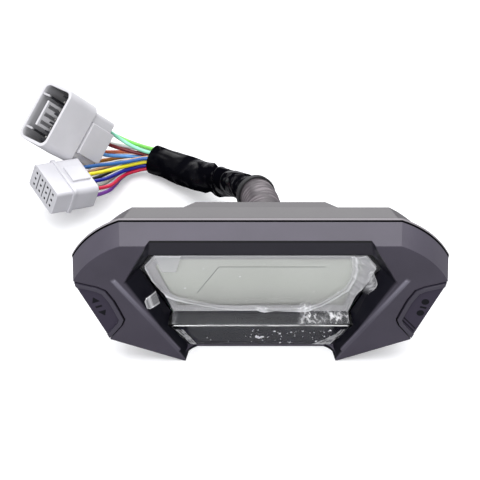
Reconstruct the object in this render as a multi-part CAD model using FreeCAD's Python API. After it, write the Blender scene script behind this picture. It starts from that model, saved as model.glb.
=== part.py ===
import FreeCAD, Part
import math
import os
from FreeCAD import Placement, Rotation, Vector

# Motorcycle instrument cluster with its harness, standing on its flat edge.
# Millimetres. X runs along the display, Y from the face to the back, Z up.
# The origin is the middle of the cluster's base; the wings' front faces lie near Y = FACE_Y.

# --- driving dimensions: shells -------------------------------------------------
BODY_DEPTH = 36.0          # wing face to the rear mounting posts
BUTTON_PROUD = 0.5         # the buttons stand this far in front of the wing face
FACE_Y = (BUTTON_PROUD - BODY_DEPTH) / 2
SEAM = 14.0                # depth of the joint between the two shells, from the wing face
SEAM_GAP = 0.9             # rubber gasket in the joint
FLANGE = 1.2               # thickness of the rear case's rim
RIM_PROUD = 1.004          # the rim's outline over the front cover's
REAR = 26.0                # depth of the rear case's back wall
BUMP = 29.5                # depth of the raised connector bay
FLARE = 1.018              # the shells widen this much from the wing face to the joint
WALL = 2.2
SEAL_OUTSIDE = 1.008       # the gasket's outline over the shell's
SEAL_INSIDE = 0.975
BASE_WALL = 2.0            # thickness of the rear case along the flat edge it stands on
REAR_HOLLOW = (0.972, 0.968)   # the rear case's hollow over its outline, at the rim and at the back
TOP = 69.0                 # height of the upper edge at the wing face
CLEAR = 0.3                # gap round anything that moves

# half outlines (x, z) from the base up; a third entry is the mid point of an arc
SHELL_HALF = [(34.3, 0.0), (66.5, 13.7), (79.7, 46.5), (80.0, 49.0), (59.0, TOP, (70.9, 61.4))]
REAR_HALF = [(34.3, 0.0), (61.5, 12.4), (74.2, 43.8), (74.5, 46.0), (55.4, 68.2, (66.4, 58.9))]

# --- driving dimensions: display opening ----------------------------------------
# half polygons (x, z) of the opening's wall at three depths
OPENING_FACE = [(48.9, 67.0), (52.9, 59.5), (58.8, 47.3), (43.5, 19.9), (33.0, -1.0)]
OPENING_MID = [(44.9, 67.0), (45.6, 59.5), (51.6, 50.2), (41.4, 19.0), (31.6, -1.0)]
OPENING_BACK = [(44.3, 67.0), (45.0, 59.5), (50.2, 51.0), (39.6, 18.5), (31.4, -1.0)]
MID_DEPTH = 7.0
BACK_DEPTH = 13.0
OPENING_WALL = 1.8
BAND_TOP = (3.2, TOP)      # depth, height of the upper band's front corners
BAND_LOW = (5.0, 59.5)
BAND_THICK = 2.0
LIP_DEPTH = 9.0            # the base lip stands back this far between the wings
LIP_HEIGHT = 1.6
LIP_HALF = 28.3
RIDGE_R = 1.3              # bead along each wing's inner edge, at its top and at its foot
RIDGE_TIP_R = 0.95
RIDGE_DEPTH = 0.85

# --- driving dimensions: lens, display and board --------------------------------
LENS_THICK = 1.8
SHELF_THICK = 1.7
LENS_GAP = 0.12            # between the lens and the opening's wall
FILM_THICK = 0.2
FILM_GAP = 0.05
FILM_MARGIN = 0.9
MASK_GAP = 0.3
MASK_FOOT = 15.2           # the black mask ends here, above the indicator panel's own
LENS_TOP = (5.0, 59.3)     # depth, height of the lens profile's corners
LENS_FOOT = (12.0, 19.3)
SHELF_LIP = (5.0, 17.5)
PANEL_FOOT = (8.7, 1.8)
DISPLAY_HALF = [(39.0, 20.6), (48.2, 50.6), (43.5, 58.0)]
BOARD_FRONT = 19.6
BOARD_THICK = 1.6
BOARD_INSET = 2.4          # the board's edge stands this far inside the rear outline
LEG_PITCH = 1.6            # between a chip's legs
INDICATORS = 7
INDICATOR_PITCH = 8.0

# --- driving dimensions: buttons ------------------------------------------------
BUTTON_HALF = [(84.0, 49.2), (70.2, 44.9), (66.8, 42.9), (63.7, 37.2), (61.3, 30.5),
               (59.8, 25.8), (60.9, 22.7), (66.4, 15.0), (74.0, 4.0)]
BUTTON_BACK = 6.6
BUTTON_GAP = 0.8           # between a button and its pocket
BUTTON_RIM = 1.9           # width of the flat rim round the recessed panel
BUTTON_PANEL = 0.9         # depth of that panel below the rim
POCKET_FLOOR = 9.8
BUTTON_AT = (64.4, 29.5)   # axis of the plunger
PLUNGER_R = 1.8
SWITCH_TOP = 14.9          # depth of the switch plunger's tip
SWITCH_GAP = 0.35          # between the button's plunger and the switch's
SEAL_R = 2.8               # throat of the rubber seal round the button's plunger
SEAL_LIP_R = 3.3

# --- driving dimensions: fasteners and mounts -----------------------------------
CASE_SCREWS = [(63.0, 53.0), (22.0, 63.7), (47.0, 11.6)]
BOARD_SCREWS = [(57.0, 45.0), (52.0, 22.0)]
MOUNTS = [(-44.0, 47.0), (44.0, 47.0), (0.0, 13.0)]
BOSS_R = 3.7               # screw bosses of the front cover
BOSS_FRONT = 6.5
PILOT_R = 1.45
SCREW_HOLE_R = 1.7
SCREW_SINK_R = 3.3         # counterbore for a case screw's head
SCREW_SINK = 3.0
PILLAR_R = 4.2             # screw pillars of the rear case
POST_R = 3.4               # posts that carry the board
POST_PILOT_R = 1.25
MOUNT_R = 8.5
INSERT_R = 3.6
INSERT_FLOOR = 1.0
DAMPER = 1.5               # thickness of the rubber ring on each mounting post
MOUNT_HOLE_R = 2.5         # M6 thread core
MOUNT_DEPTH = 9.0
VENT_AT = (-24.0, 12.0)
VENT_R = 3.5
CABLE_HOLE_R = 6.2

# --- driving dimensions: harness ------------------------------------------------
EXIT = Vector(3.0, FACE_Y + BUMP, 46.0)
BOOT_R = 8.2
SLEEVE_D = 14.0
BOOT_ROUTE = [EXIT, Vector(3.0, 37.0, 46.0), Vector(-3.0, 52.0, 39.0)]
SLEEVE_ROUTE = [Vector(-3.0, 52.0, 39.0), Vector(-8.4, 65.5, 32.7), Vector(-16.5, 80.5, 21.5),
                Vector(-27.5, 95.5, 12.2), Vector(-40.0, 107.5, 8.0), Vector(-54.0, 116.0, 7.3)]
WIRE_D = 1.9
LEAVE_REACH = 0.45         # how far, over its chord, a wire keeps its heading out of the sleeve
ENTRY_REACH = 0.3          # and into the connector
WIRE_POINTS = 6

# wires: name, cell in the sleeve's mouth (column, row), slack of the middle points (x, y, z)
PLUG_WIRES = [
    ("wire_light_green", (-2, 3), (-0.0, -0.0, 0.2)),
    ("wire_mint", (-1, 3), (-0.1, 0.0, 0.1)),
    ("wire_white", (-2, 1), (0.2, 0.0, 0.1)),
    ("wire_maroon", (-1, 1), (0.1, 0.0, 0.0)),
    ("wire_sky_blue", (-1, -1), (-0.0, -0.0, -0.0)),
    ("wire_salmon", (-2, -1), (-0.0, -0.0, -0.0)),
    ("wire_teal", (-1, -3), (0.0, 0.0, -0.1)),
    ("wire_amber", (-2, -3), (0.0, 0.0, -0.1)),
]
SOCKET_WIRES = [
    ("wire_tan", (1, 3), (-1, 2.9, -1.4)),
    ("wire_blue", (2, 3), (0.1, 0.1, 0.1)),
    ("wire_black", (1, 1), (-1, 3, -1.5)),
    ("wire_yellow", (2, 1), (0.0, 0.0, 0.0)),
    ("wire_grey", (1, -1), (-0.5, 3.0, -1.5)),
    ("wire_navy", (2, -1), (-0.0, 0.0, -0.1)),
    ("wire_violet", (1, -3), (0.1, 3, -1.5)),
    ("wire_red", (2, -3), (0.0, -0.0, -0.2)),
]
PLUG_LEAVE = Vector(-0.93, 0.36, 0.0)      # headings of the two bunches out of the sleeve
SOCKET_LEAVE = Vector(-0.94, -0.34, 0.0)
COLUMN_PITCH = 2.2
ROW_STEP = 1.08
STAGGER = 0.5              # outer columns sit this much higher, inner ones this much lower
PLUG_ROW = 3.0             # wire places in the plug's and the socket's rear faces
PLUG_COLUMN = 3.4
SOCKET_PITCH = 2.6
SOCKET_LEVEL = 2.3

# connectors: middle of the rear face, and yaw, pitch, roll of the axis from mouth to wires
PLUG_AT = Vector(-84.6, 119.4, 15.1)
PLUG_TURN = Rotation(34.0, 50.0, 75.0)
PLUG_LENGTH = 38.0
PLUG_OUTER = (31.0, 21.0)
PLUG_CAVITY = 17.0
PLUG_WALL = 1.5
PLUG_STEP = 20.0
SOCKET_AT = Vector(-85.1, 89.6, 14.6)
SOCKET_TURN = Rotation(36.0, 16.4, 9.7)
SOCKET_LENGTH = 25.5
SOCKET_OUTER = (25.0, 14.4)

os.makedirs("parts", exist_ok=True)


# --- helpers --------------------------------------------------------------------
def point(x, depth, z):
    """A point given by its depth behind the wing face."""
    return Vector(x, FACE_Y + depth, z)


def box(x0, x1, d0, d1, z0, z1):
    return Part.makeBox(x1 - x0, d1 - d0, z1 - z0, point(x0, d0, z0))


def rod(radius, x, z, d0, d1):
    """A cylinder along Y between two depths."""
    return Part.makeCylinder(radius, d1 - d0, point(x, d0, z), Vector(0, 1, 0))


def outline(half, depth, scale=1.0):
    """Closed wire of a mirrored half outline, whose first and last points join across."""
    ends = [(entry[0] * scale, entry[1] * scale) for entry in half]
    mids = [entry[2] if len(entry) > 2 else None for entry in half]
    edges = []
    for side in (1, -1):
        stretch = []
        for (start, end, mid) in zip(ends, ends[1:], mids[1:]):
            a = point(side * start[0], depth, start[1])
            b = point(side * end[0], depth, end[1])
            if mid:
                through = point(side * mid[0] * scale, depth, mid[1] * scale)
                stretch.append(Part.Arc(a, through, b).toShape())
            else:
                stretch.append(Part.makeLine(a, b))
        edges.append(stretch)
    right, left = edges
    top = Part.makeLine(point(ends[-1][0], depth, ends[-1][1]), point(-ends[-1][0], depth, ends[-1][1]))
    base = Part.makeLine(point(-ends[0][0], depth, ends[0][1]), point(ends[0][0], depth, ends[0][1]))
    return Part.Wire(Part.__sortEdges__(right + [top] + left + [base]))


def slab(wire, thickness):
    """Solid between a flat wire and its copy further back."""
    return Part.Face(wire).extrude(Vector(0, thickness, 0))


def taper(wires):
    """Solid with straight sides through a row of matching wires."""
    return Part.makeLoft(wires, True, True)


def inset(wire, distance):
    return wire.makeOffset2D(-distance, 2)


def grow(half, distance):
    """Half polygon moved outwards; its open ends only move sideways."""
    moved = []
    for index, (x, z) in enumerate(half):
        before = half[max(index - 1, 0)]
        after = half[min(index + 1, len(half) - 1)]
        dx, dz = after[0] - before[0], after[1] - before[1]
        size = math.hypot(dx, dz)
        moved.append((x - dz / size * distance, z + dx / size * distance))
    moved[0] = (moved[0][0], half[0][1])
    moved[-1] = (moved[-1][0], half[-1][1])
    return moved


def mirror(shape):
    return shape.mirror(Vector(0, 0, 0), Vector(1, 0, 0))


def both(shape):
    return [shape, mirror(shape)]


def both_sides(points):
    return [(side * x, z) for (x, z) in points for side in (1, -1)]


def write(name, *shapes):
    """One STEP file per named piece; a group of like pieces is one compound."""
    solids = [solid for shape in shapes for solid in shape.removeSplitter().Solids]
    result = solids[0] if len(solids) == 1 else Part.makeCompound(solids)
    result.exportStep(f"parts/{name}.step")
    volume = sum(solid.Volume for solid in solids)
    print(f"{name}: {len(solids)} solid(s), {volume:.0f} mm3, valid {result.isValid()}")
    return result


# --- front cover ----------------------------------------------------------------
def opening(extra, front, back):
    """The display opening's volume, grown by extra, from depth front to depth back."""
    face = outline(grow(OPENING_FACE, extra), 0.0)
    mid = outline(grow(OPENING_MID, extra), MID_DEPTH)
    deep = outline(grow(OPENING_BACK, extra), BACK_DEPTH)
    body = taper([face, mid]).fuse(taper([mid, deep]))
    if front < 0:
        body = body.fuse(slab(outline(grow(OPENING_FACE, extra), front), -front))
    if back > BACK_DEPTH:
        body = body.fuse(slab(deep, back - BACK_DEPTH))
    return body


def shell_body():
    return taper([outline(SHELL_HALF, 0.0), outline(SHELL_HALF, SEAM, FLARE)])


def button_outline(extra, d0, d1):
    """Prism of the right button's outline, grown by extra."""
    corners = [point(x, d0, z) for (x, z) in BUTTON_HALF]
    face = Part.Face(Part.makePolygon(corners + [corners[0]]))
    if extra:
        face = Part.Face(face.OuterWire.makeOffset2D(extra, 2))
    return face.extrude(Vector(0, d1 - d0, 0))


def front_cover():
    body = shell_body()
    hollow = slab(inset(outline(SHELL_HALF, WALL), WALL), SEAM - WALL + 1)
    pockets = Part.makeCompound(both(button_outline(BUTTON_GAP, -1, POCKET_FLOOR)))
    pocket_walls = Part.makeCompound(both(button_outline(BUTTON_GAP + 1.6, 0, POCKET_FLOOR + 1.6)))
    cover = body.cut(hollow)
    cover = cover.fuse(opening(OPENING_WALL, 0, BACK_DEPTH).common(body))
    cover = cover.fuse(pocket_walls.common(body)).cut(pockets).cut(opening(0, -1, SEAM + 1))
    notch = taper([outline([(53.5, 58.5), (47.8, TOP + 2)], -1.0),
                   outline([(49.3, 58.5), (46.2, TOP + 2)], BAND_TOP[0])])
    band_corners = [BAND_TOP, BAND_LOW, (BAND_LOW[0] + BAND_THICK, BAND_LOW[1]),
                    (BAND_TOP[0] + BAND_THICK, BAND_TOP[1])]
    band_face = Part.makePolygon([point(-50, d, z) for (d, z) in band_corners + band_corners[:1]])
    band = Part.Face(band_face).extrude(Vector(100, 0, 0)).common(opening(OPENING_WALL / 2, 0, SEAM))
    cover = cover.cut(notch).fuse(band)
    cover = cover.fuse(base_lip())
    for (x, z) in both_sides(CASE_SCREWS):
        cover = cover.fuse(rod(BOSS_R, x, z, BOSS_FRONT, SEAM)).fuse(boss_web(x, z).common(body))
        cover = cover.cut(rod(PILOT_R, x, z, BOSS_FRONT + 1, SEAM + 1))
    for side in (1, -1):
        x, z = BUTTON_AT
        cover = cover.cut(rod(SEAL_R + 0.02, side * x, z, POCKET_FLOOR - 1, POCKET_FLOOR + 3))
    ridge = wing_ridge()
    return cover.fuse(ridge).fuse(mirror(ridge)).common(envelope())


def boss_web(x, z):
    """Rib that ties a screw boss to the nearest outer wall, straight out from the middle."""
    side = 1 if x > 0 else -1
    web = box(0, 14, 7.0, SEAM, -1.0, 1.0) if abs(x) > 30 else box(-1.0, 1.0, 7.0, SEAM, 0, 6)
    if abs(x) > 30:
        angle = 42.0 if z > 30 else -60.0
        web.rotate(Vector(0, 0, 0), Vector(0, -1, 0), angle if side > 0 else 180 - angle)
    web.translate(Vector(x, 0, z))
    return web


def envelope():
    """Everything the shells may fill: nothing reaches below the base plane or beyond the buttons."""
    return box(-100, 100, -BUTTON_PROUD, 60, 0, 90)


def base_lip():
    """The strip of base wall under the indicator panel, swept back between the wings."""
    right = [point(LIP_HALF, LIP_DEPTH, 0), point(31.9, 6.4, 0), point(33.9, 1.5, 0)]
    left = [Vector(-p.x, p.y, p.z) for p in right]
    edges = [Part.makeLine(left[0], right[0]), Part.Arc(*right).toShape(),
             Part.makeLine(right[2], point(36, SEAM, 0)),
             Part.makeLine(point(36, SEAM, 0), point(-36, SEAM, 0)),
             Part.makeLine(point(-36, SEAM, 0), left[2]), Part.Arc(*left[::-1]).toShape()]
    return Part.Face(Part.Wire(edges)).extrude(Vector(0, 0, LIP_HEIGHT))


def wing_ridge():
    """The slim raised bead along the right wing's inner edge, down to its foot."""
    high, low = Vector(62.4, 0, 48.4), Vector(36.4, 0, 6.8)
    along = (low - high).normalize()
    start = high + Vector(0, FACE_Y + RIDGE_DEPTH, 0)
    bead = Part.makeCone(RIDGE_R, RIDGE_TIP_R, (low - high).Length, start, along)
    return bead.fuse(Part.makeSphere(RIDGE_R, start)).fuse(Part.makeSphere(RIDGE_TIP_R, start + low - high))


# --- rear case ------------------------------------------------------------------
def connector_bay(depth, half, slope, z0, z1, start):
    corners = [(half + slope, start), (half, depth), (-half, depth), (-half - slope, start)]
    corners = [point(x, d, z0) for (x, d) in corners]
    return Part.Face(Part.makePolygon(corners + corners[:1])).extrude(Vector(0, 0, z1 - z0))


def rear_case():
    rim = SEAM + SEAM_GAP
    body = slab(outline(SHELL_HALF, rim, FLARE * RIM_PROUD), FLANGE)
    body = body.fuse(taper([outline(SHELL_HALF, rim + FLANGE, 1.005), outline(REAR_HALF, REAR)]))
    body = body.fuse(connector_bay(BUMP, 28.0, 6.0, 24.0, 68.2, REAR - 0.5))
    for (x, z) in MOUNTS:
        body = body.fuse(rod(MOUNT_R, x, z, REAR - 2, BODY_DEPTH - DAMPER))
    for x in (-62, -54, 54, 62):
        body = body.fuse(box(x - 0.8, x + 0.8, REAR - 1, REAR + 1.6, 20, 40))
    hollow = taper([outline(SHELL_HALF, rim - 0.5, REAR_HOLLOW[0]),
                    outline(REAR_HALF, REAR - WALL, REAR_HOLLOW[1])])
    hollow = hollow.common(box(-90, 90, 0, 60, BASE_WALL, 90))
    bay = connector_bay(BUMP - WALL, 26.5, 5.0, 27.0, 65.5, REAR - 3)
    body = body.cut(hollow).cut(bay)
    for (x, z) in both_sides(CASE_SCREWS):
        body = body.fuse(rod(PILLAR_R, x, z, rim, REAR)).cut(rod(SCREW_HOLE_R, x, z, rim - 1, REAR + 5))
        body = body.cut(rod(SCREW_SINK_R, x, z, REAR - SCREW_SINK, REAR + 5))
    for (x, z) in both_sides(BOARD_SCREWS):
        post = rod(POST_R, x, z, BOARD_FRONT + BOARD_THICK, REAR - 1)
        body = body.fuse(post).cut(rod(POST_PILOT_R, x, z, BOARD_FRONT, REAR - 1.5))
    for (x, z) in MOUNTS:
        body = body.cut(rod(INSERT_R, x, z, BODY_DEPTH - DAMPER - MOUNT_DEPTH, BODY_DEPTH))
    body = body.cut(rod(CABLE_HOLE_R, EXIT.x, EXIT.z, BUMP - 4, BUMP + 1))
    body = body.cut(rod(VENT_R, *VENT_AT, REAR - 4, REAR + 1))
    return body.common(envelope())


def housing_seal():
    ring = slab(outline(SHELL_HALF, SEAM, SEAL_OUTSIDE), SEAM_GAP)
    inner = slab(outline(SHELL_HALF, SEAM - 1, SEAL_INSIDE), 3).common(box(-90, 90, 0, 60, BASE_WALL, 90))
    ring = ring.cut(inner)
    for (x, z) in both_sides(CASE_SCREWS):
        ring = ring.cut(rod(SCREW_HOLE_R, x, z, SEAM - 1, SEAM + 2))
    return ring


# --- lens, film and display -----------------------------------------------------
def lens_depth(z):
    """Depth of the main window's front face at height z."""
    share = (z - LENS_FOOT[1]) / (LENS_TOP[1] - LENS_FOOT[1])
    return LENS_FOOT[0] + share * (LENS_TOP[0] - LENS_FOOT[0])


def lens_profile(depth_shift, shelf_shift):
    """Corners of the Z-shaped lens profile, moved in depth, its shelf moved in height."""
    profile = []
    for (depth, z) in (LENS_TOP, LENS_FOOT, SHELF_LIP, PANEL_FOOT):
        on_shelf = z in (LENS_FOOT[1], SHELF_LIP[1])
        profile.append((depth + depth_shift, z + (shelf_shift if on_shelf else 0.0)))
    return profile


def stepped_sheet(front, back, gap):
    """Sheet between two lens profiles, fitted into the opening with a gap all round."""
    corners = [point(-60, d, z) for (d, z) in front + back[::-1] + front[:1]]
    sheet = Part.Face(Part.makePolygon(corners)).extrude(Vector(120, 0, 0))
    return sheet.common(opening(-gap, 0, SEAM + 2))


def lens():
    return stepped_sheet(lens_profile(0, 0), lens_profile(LENS_THICK, -SHELF_THICK), LENS_GAP)


def protective_film():
    """Thin film lying on the lens, just clear of it."""
    front = lens_profile(-FILM_GAP - FILM_THICK, FILM_GAP + FILM_THICK)
    return stepped_sheet(front, lens_profile(-FILM_GAP, FILM_GAP), FILM_MARGIN)


def display_plate(near, far, low=0.0, high=0.0, narrow=0.0):
    """Plate behind the main window, parallel to it, with the display's outline."""
    z0, z1 = DISPLAY_HALF[0][1] + low, DISPLAY_HALF[-1][1] - high
    corners = [(lens_depth(z0) + near, z0), (lens_depth(z1) + near, z1),
               (lens_depth(z1) + far, z1), (lens_depth(z0) + far, z0)]
    corners = [point(-60, d, z) for (d, z) in corners + corners[:1]]
    sheet = Part.Face(Part.makePolygon(corners)).extrude(Vector(120, 0, 0))
    half = [(x - narrow, z) for (x, z) in DISPLAY_HALF]
    return sheet.common(slab(outline(half, 0), 30))


def display_mask():
    """Black sheet behind the window and the shelf, open over the display."""
    sheet = stepped_sheet(lens_profile(2.0, -1.9), lens_profile(2.6, -2.5), MASK_GAP)
    sheet = sheet.common(box(-60, 60, 0, SEAM + 2, MASK_FOOT, 90))
    return sheet.cut(display_plate(1.0, 4.0, 1.5, 1.5, 2.0))


def zebra_strips():
    blocks = display_plate(4.8, 30)
    blocks = blocks.common(box(-60, 60, 0, BOARD_FRONT, 0, 90))
    low = blocks.common(box(-34, 34, 0, 40, 20.8, 22.6))
    high = blocks.common(box(-38, 38, 0, 40, 55.8, 57.6))
    return [low, high]


# --- indicator panel ------------------------------------------------------------
def indicator_places():
    return [(index - (INDICATORS - 1) / 2) * INDICATOR_PITCH for index in range(INDICATORS)]


def panel_depth(z):
    share = (z - SHELF_LIP[1]) / (PANEL_FOOT[1] - SHELF_LIP[1])
    return SHELF_LIP[0] + share * (PANEL_FOOT[0] - SHELF_LIP[0])


def indicator_plate(near, far, z0=2.6, z1=15.0, half=29.5, x_top=36.0):
    corners = [(panel_depth(z0) + near, z0), (panel_depth(z1) + near, z1),
               (panel_depth(z1) + far, z1), (panel_depth(z0) + far, z0)]
    corners = [point(-60, d, z) for (d, z) in corners + corners[:1]]
    sheet = Part.Face(Part.makePolygon(corners)).extrude(Vector(120, 0, 0))
    return sheet.common(slab(outline([(half, z0), (x_top, z1)], 0), 30))


def indicator_mask():
    mask = indicator_plate(2.0, 2.6)
    for x in indicator_places():
        mask = mask.cut(rod(2.0, x, 9.0, 0, 20))
    return mask


def indicator_light_box():
    block = indicator_plate(2.8, 30, 3.0, 14.6, 29.0, 33.0)
    block = block.common(box(-60, 60, 0, BOARD_FRONT - 0.3, 0, 20))
    for x in indicator_places():
        block = block.cut(box(x - 3.2, x + 3.2, 0, 30, 4.6, 13.2))
    return block


# --- circuit board --------------------------------------------------------------
def circuit_board():
    board = slab(inset(outline(REAR_HALF, BOARD_FRONT), BOARD_INSET), BOARD_THICK)
    board = board.common(box(-90, 90, 0, 60, BASE_WALL + 0.6, 90))
    for (x, z) in both_sides(CASE_SCREWS):
        board = board.cut(rod(PILLAR_R + 0.4, x, z, 0, 40))
    for (x, z) in both_sides(BOARD_SCREWS):
        board = board.cut(rod(1.6, x, z, 0, 40))
    return board


def on_board(x, z, width, height, tall, front=True):
    """A component lying on the board's front or back."""
    if front:
        near, far = BOARD_FRONT - tall, BOARD_FRONT
    else:
        near, far = BOARD_FRONT + BOARD_THICK, BOARD_FRONT + BOARD_THICK + tall
    return box(x - width / 2, x + width / 2, near, far, z - height / 2, z + height / 2)


def chip(x, z, width, height, tall):
    """A moulded chip with a chamfered lid, behind the board, and two rows of legs."""
    body = on_board(x, z, width, height, tall, False)
    lid = FACE_Y + BOARD_FRONT + BOARD_THICK + tall
    body = body.makeChamfer(0.3, [edge for edge in body.Edges if edge.BoundBox.YMin > lid - 1e-6])
    legs = []
    count = int(height / LEG_PITCH)
    for index in range(count):
        level = z + (index - (count - 1) / 2) * LEG_PITCH
        for side in (-1, 1):
            legs.append(on_board(x + side * (width / 2 + 0.45), level, 0.9, 0.5, 0.5, False))
    return Part.makeCompound([body] + legs)


def harness_header():
    """The harness's header behind the board: two rows of square sockets."""
    body = on_board(EXIT.x, EXIT.z, 24, 11, 5.0, False)
    back = BOARD_FRONT + BOARD_THICK
    for index in range(8):
        x = EXIT.x + (index - 3.5) * 2.5
        for z in (EXIT.z - 2.2, EXIT.z + 2.2):
            body = body.cut(box(x - 0.8, x + 0.8, back + 2, back + 6, z - 0.8, z + 0.8))
    return body


# --- buttons --------------------------------------------------------------------
def button_cap():
    """Right button: a cap that wraps round the shell's edge, with a plunger behind."""
    skin = taper([outline(SHELL_HALF, 0, 0.997), outline(SHELL_HALF, SEAM, 1.014)])
    front = slab(outline(SHELL_HALF, -BUTTON_PROUD, 0.994), BUTTON_PROUD)
    block = button_outline(0, -BUTTON_PROUD, BUTTON_BACK).common(skin.fuse(front))
    block = block.cut(button_outline(-BUTTON_RIM, -BUTTON_PROUD - 1, BUTTON_PANEL - BUTTON_PROUD))
    hollow = button_outline(-1.8, 2.0, BUTTON_BACK + 1)
    hollow = hollow.common(taper([outline(SHELL_HALF, 0, 0.974), outline(SHELL_HALF, SEAM, 0.99)]))
    cap = block.cut(hollow)
    x, z = BUTTON_AT
    cap = cap.fuse(rod(PLUNGER_R, x, z, 1.5, SWITCH_TOP - SWITCH_GAP))
    return cap.fuse(rod(3.0, x, z, 1.5, BUTTON_BACK))


def button_seal():
    x, z = BUTTON_AT
    ring = rod(SEAL_LIP_R, x, z, POCKET_FLOOR - 1.2, POCKET_FLOOR)
    throat = rod(SEAL_R, x, z, POCKET_FLOOR, POCKET_FLOOR + 1.6)
    return ring.fuse(throat).cut(rod(PLUNGER_R + CLEAR, x, z, POCKET_FLOOR - 3, POCKET_FLOOR + 3))


def switch_plunger():
    x, z = BUTTON_AT
    return rod(1.3, x, z, SWITCH_TOP, SWITCH_TOP + 1.7)


def switch_body():
    x, z = BUTTON_AT
    top = SWITCH_TOP + 1.2
    body = box(x - 2.2, x + 2.2, top, BOARD_FRONT, z - 3, z + 3)
    return body.cut(rod(1.5, x, z, top - 1, top + 1.2))


# --- fasteners and mounts -------------------------------------------------------
def screw(x, z, head_depth, head_r, head_tall, shank_r, tip_depth, out):
    """Pan-head screw along Y; out is +1 when its head faces the back, -1 the front."""
    head = rod(head_r, x, z, head_depth - (out > 0) * head_tall, head_depth + (out < 0) * head_tall)
    crown = [edge for edge in head.Edges
             if abs(edge.BoundBox.YMin - FACE_Y - head_depth) < 1e-6 and edge.BoundBox.YLength < 1e-6]
    head = head.makeFillet(head_tall * 0.4, crown)
    shank = rod(shank_r, x, z, min(head_depth, tip_depth), max(head_depth, tip_depth))
    groove = [box(x - 1.5, x + 1.5, 0, 1, z - 0.3, z + 0.3), box(x - 0.3, x + 0.3, 0, 1, z - 1.5, z + 1.5)]
    cross = groove[0].fuse(groove[1])
    cross.translate(Vector(0, head_depth - (1.0 if out > 0 else 0), 0))
    return head.fuse(shank).cut(cross)


def case_screws():
    return [screw(x, z, REAR - 1.0, 2.8, 2.0, 1.4, 9.0, 1) for (x, z) in both_sides(CASE_SCREWS)]


def board_screws():
    head = BOARD_FRONT - 1.8
    return [screw(x, z, head, 2.6, 1.8, 1.2, REAR - 2.0, -1) for (x, z) in both_sides(BOARD_SCREWS)]


def mount_inserts():
    inserts = []
    for (x, z) in MOUNTS:
        base = BODY_DEPTH - DAMPER - MOUNT_DEPTH
        sleeve = rod(INSERT_R - 0.02, x, z, base, BODY_DEPTH - DAMPER)
        inserts.append(sleeve.cut(rod(MOUNT_HOLE_R, x, z, base + INSERT_FLOOR, BODY_DEPTH)))
    return inserts


def mount_dampers():
    rings = []
    for (x, z) in MOUNTS:
        ring = rod(MOUNT_R, x, z, BODY_DEPTH - DAMPER, BODY_DEPTH)
        rings.append(ring.cut(rod(INSERT_R + 0.6, x, z, 0, 50)))
    return rings


def vent_plug():
    x, z = VENT_AT
    cap = rod(5.0, x, z, REAR, REAR + 1.8)
    stem = rod(VENT_R - 0.05, x, z, REAR - 2.0, REAR)
    return cap.fuse(stem).cut(rod(1.2, x, z, REAR - 3, REAR + 1.0))


# --- harness --------------------------------------------------------------------
def tube(route, radius, label):
    """Round tube along straight runs joined by arcs as large as the runs allow."""
    runs = [(b - a).Length for a, b in zip(route, route[1:])]
    edges = []
    start = route[0]
    radii = []
    for index in range(1, len(route) - 1):
        corner = route[index]
        before = (corner - route[index - 1]).normalize()
        after = (route[index + 1] - corner).normalize()
        turn = before.getAngle(after)
        cut_back = 0.45 * min(runs[index - 1], runs[index])
        arc_radius = cut_back / math.tan(turn / 2)
        radii.append(arc_radius)
        a = corner - before * cut_back
        b = corner + after * cut_back
        towards = (after - before).normalize()
        middle = corner + towards * (arc_radius / math.cos(turn / 2) - arc_radius)
        edges.append(Part.LineSegment(start, a).toShape())
        edges.append(Part.Arc(a, middle, b).toShape())
        start = b
    edges.append(Part.LineSegment(start, route[-1]).toShape())
    path = Part.Wire(edges)
    ring = Part.Wire(Part.makeCircle(radius, route[0], route[1] - route[0]))
    solid = path.makePipeShell([ring], True, False)
    expected = math.pi * radius ** 2 * path.Length
    tightest = min(radii)
    print(f"{label}: length {path.Length:.1f}, radii {', '.join(f'{r:.0f}' for r in radii)}, "
          f"tightest {tightest / (2 * radius):.1f} diameters, volume ratio {solid.Volume / expected:.3f}")
    return solid


def cable_boot():
    body = tube(BOOT_ROUTE, BOOT_R, "cable_boot")
    flange = rod(11.5, EXIT.x, EXIT.z, BUMP, BUMP + 2.0)
    neck = Part.makeCone(10.5, BOOT_R, 7.0, point(EXIT.x, BUMP + 2.0, EXIT.z), Vector(0, 1, 0))
    plug = rod(CABLE_HOLE_R - 0.1, EXIT.x, EXIT.z, BUMP - 2.0, BUMP)
    return body.fuse(flange).fuse(neck).fuse(plug)


def boot_tie():
    """Band clamped round the boot just before the sleeve starts."""
    end = BOOT_ROUTE[-1]
    along = (end - BOOT_ROUTE[-2]).normalize()
    start = end - along * 4.0
    ring = Part.makeCylinder(BOOT_R + 0.9, 3.0, start, along)
    return ring.cut(Part.makeCylinder(BOOT_R + 0.02, 6.0, start - along, along))


def mouth_cell(cell):
    """Centre of a wire in the sleeve's mouth; columns run to the front, rows run up."""
    along = (SLEEVE_ROUTE[-1] - SLEEVE_ROUTE[-2]).normalize()
    front = Vector(along.y, -along.x, 0).normalize() * -1
    up = front.cross(along) * -1
    column, row = cell
    across = (abs(column) - 0.5) * COLUMN_PITCH * (1 if column > 0 else -1)
    height = row * ROW_STEP + (STAGGER if abs(column) == 2 else -STAGGER)
    return SLEEVE_ROUTE[-1] + front * across + up * height


def plug_point(x, y, z):
    """A point in the plug's own frame: x from the mouth to the wires."""
    return PLUG_AT + PLUG_TURN.multVec(Vector(x - PLUG_LENGTH, y, z))


def socket_point(x, y, z):
    return SOCKET_AT + SOCKET_TURN.multVec(Vector(x - SOCKET_LENGTH, y, z))


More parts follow.
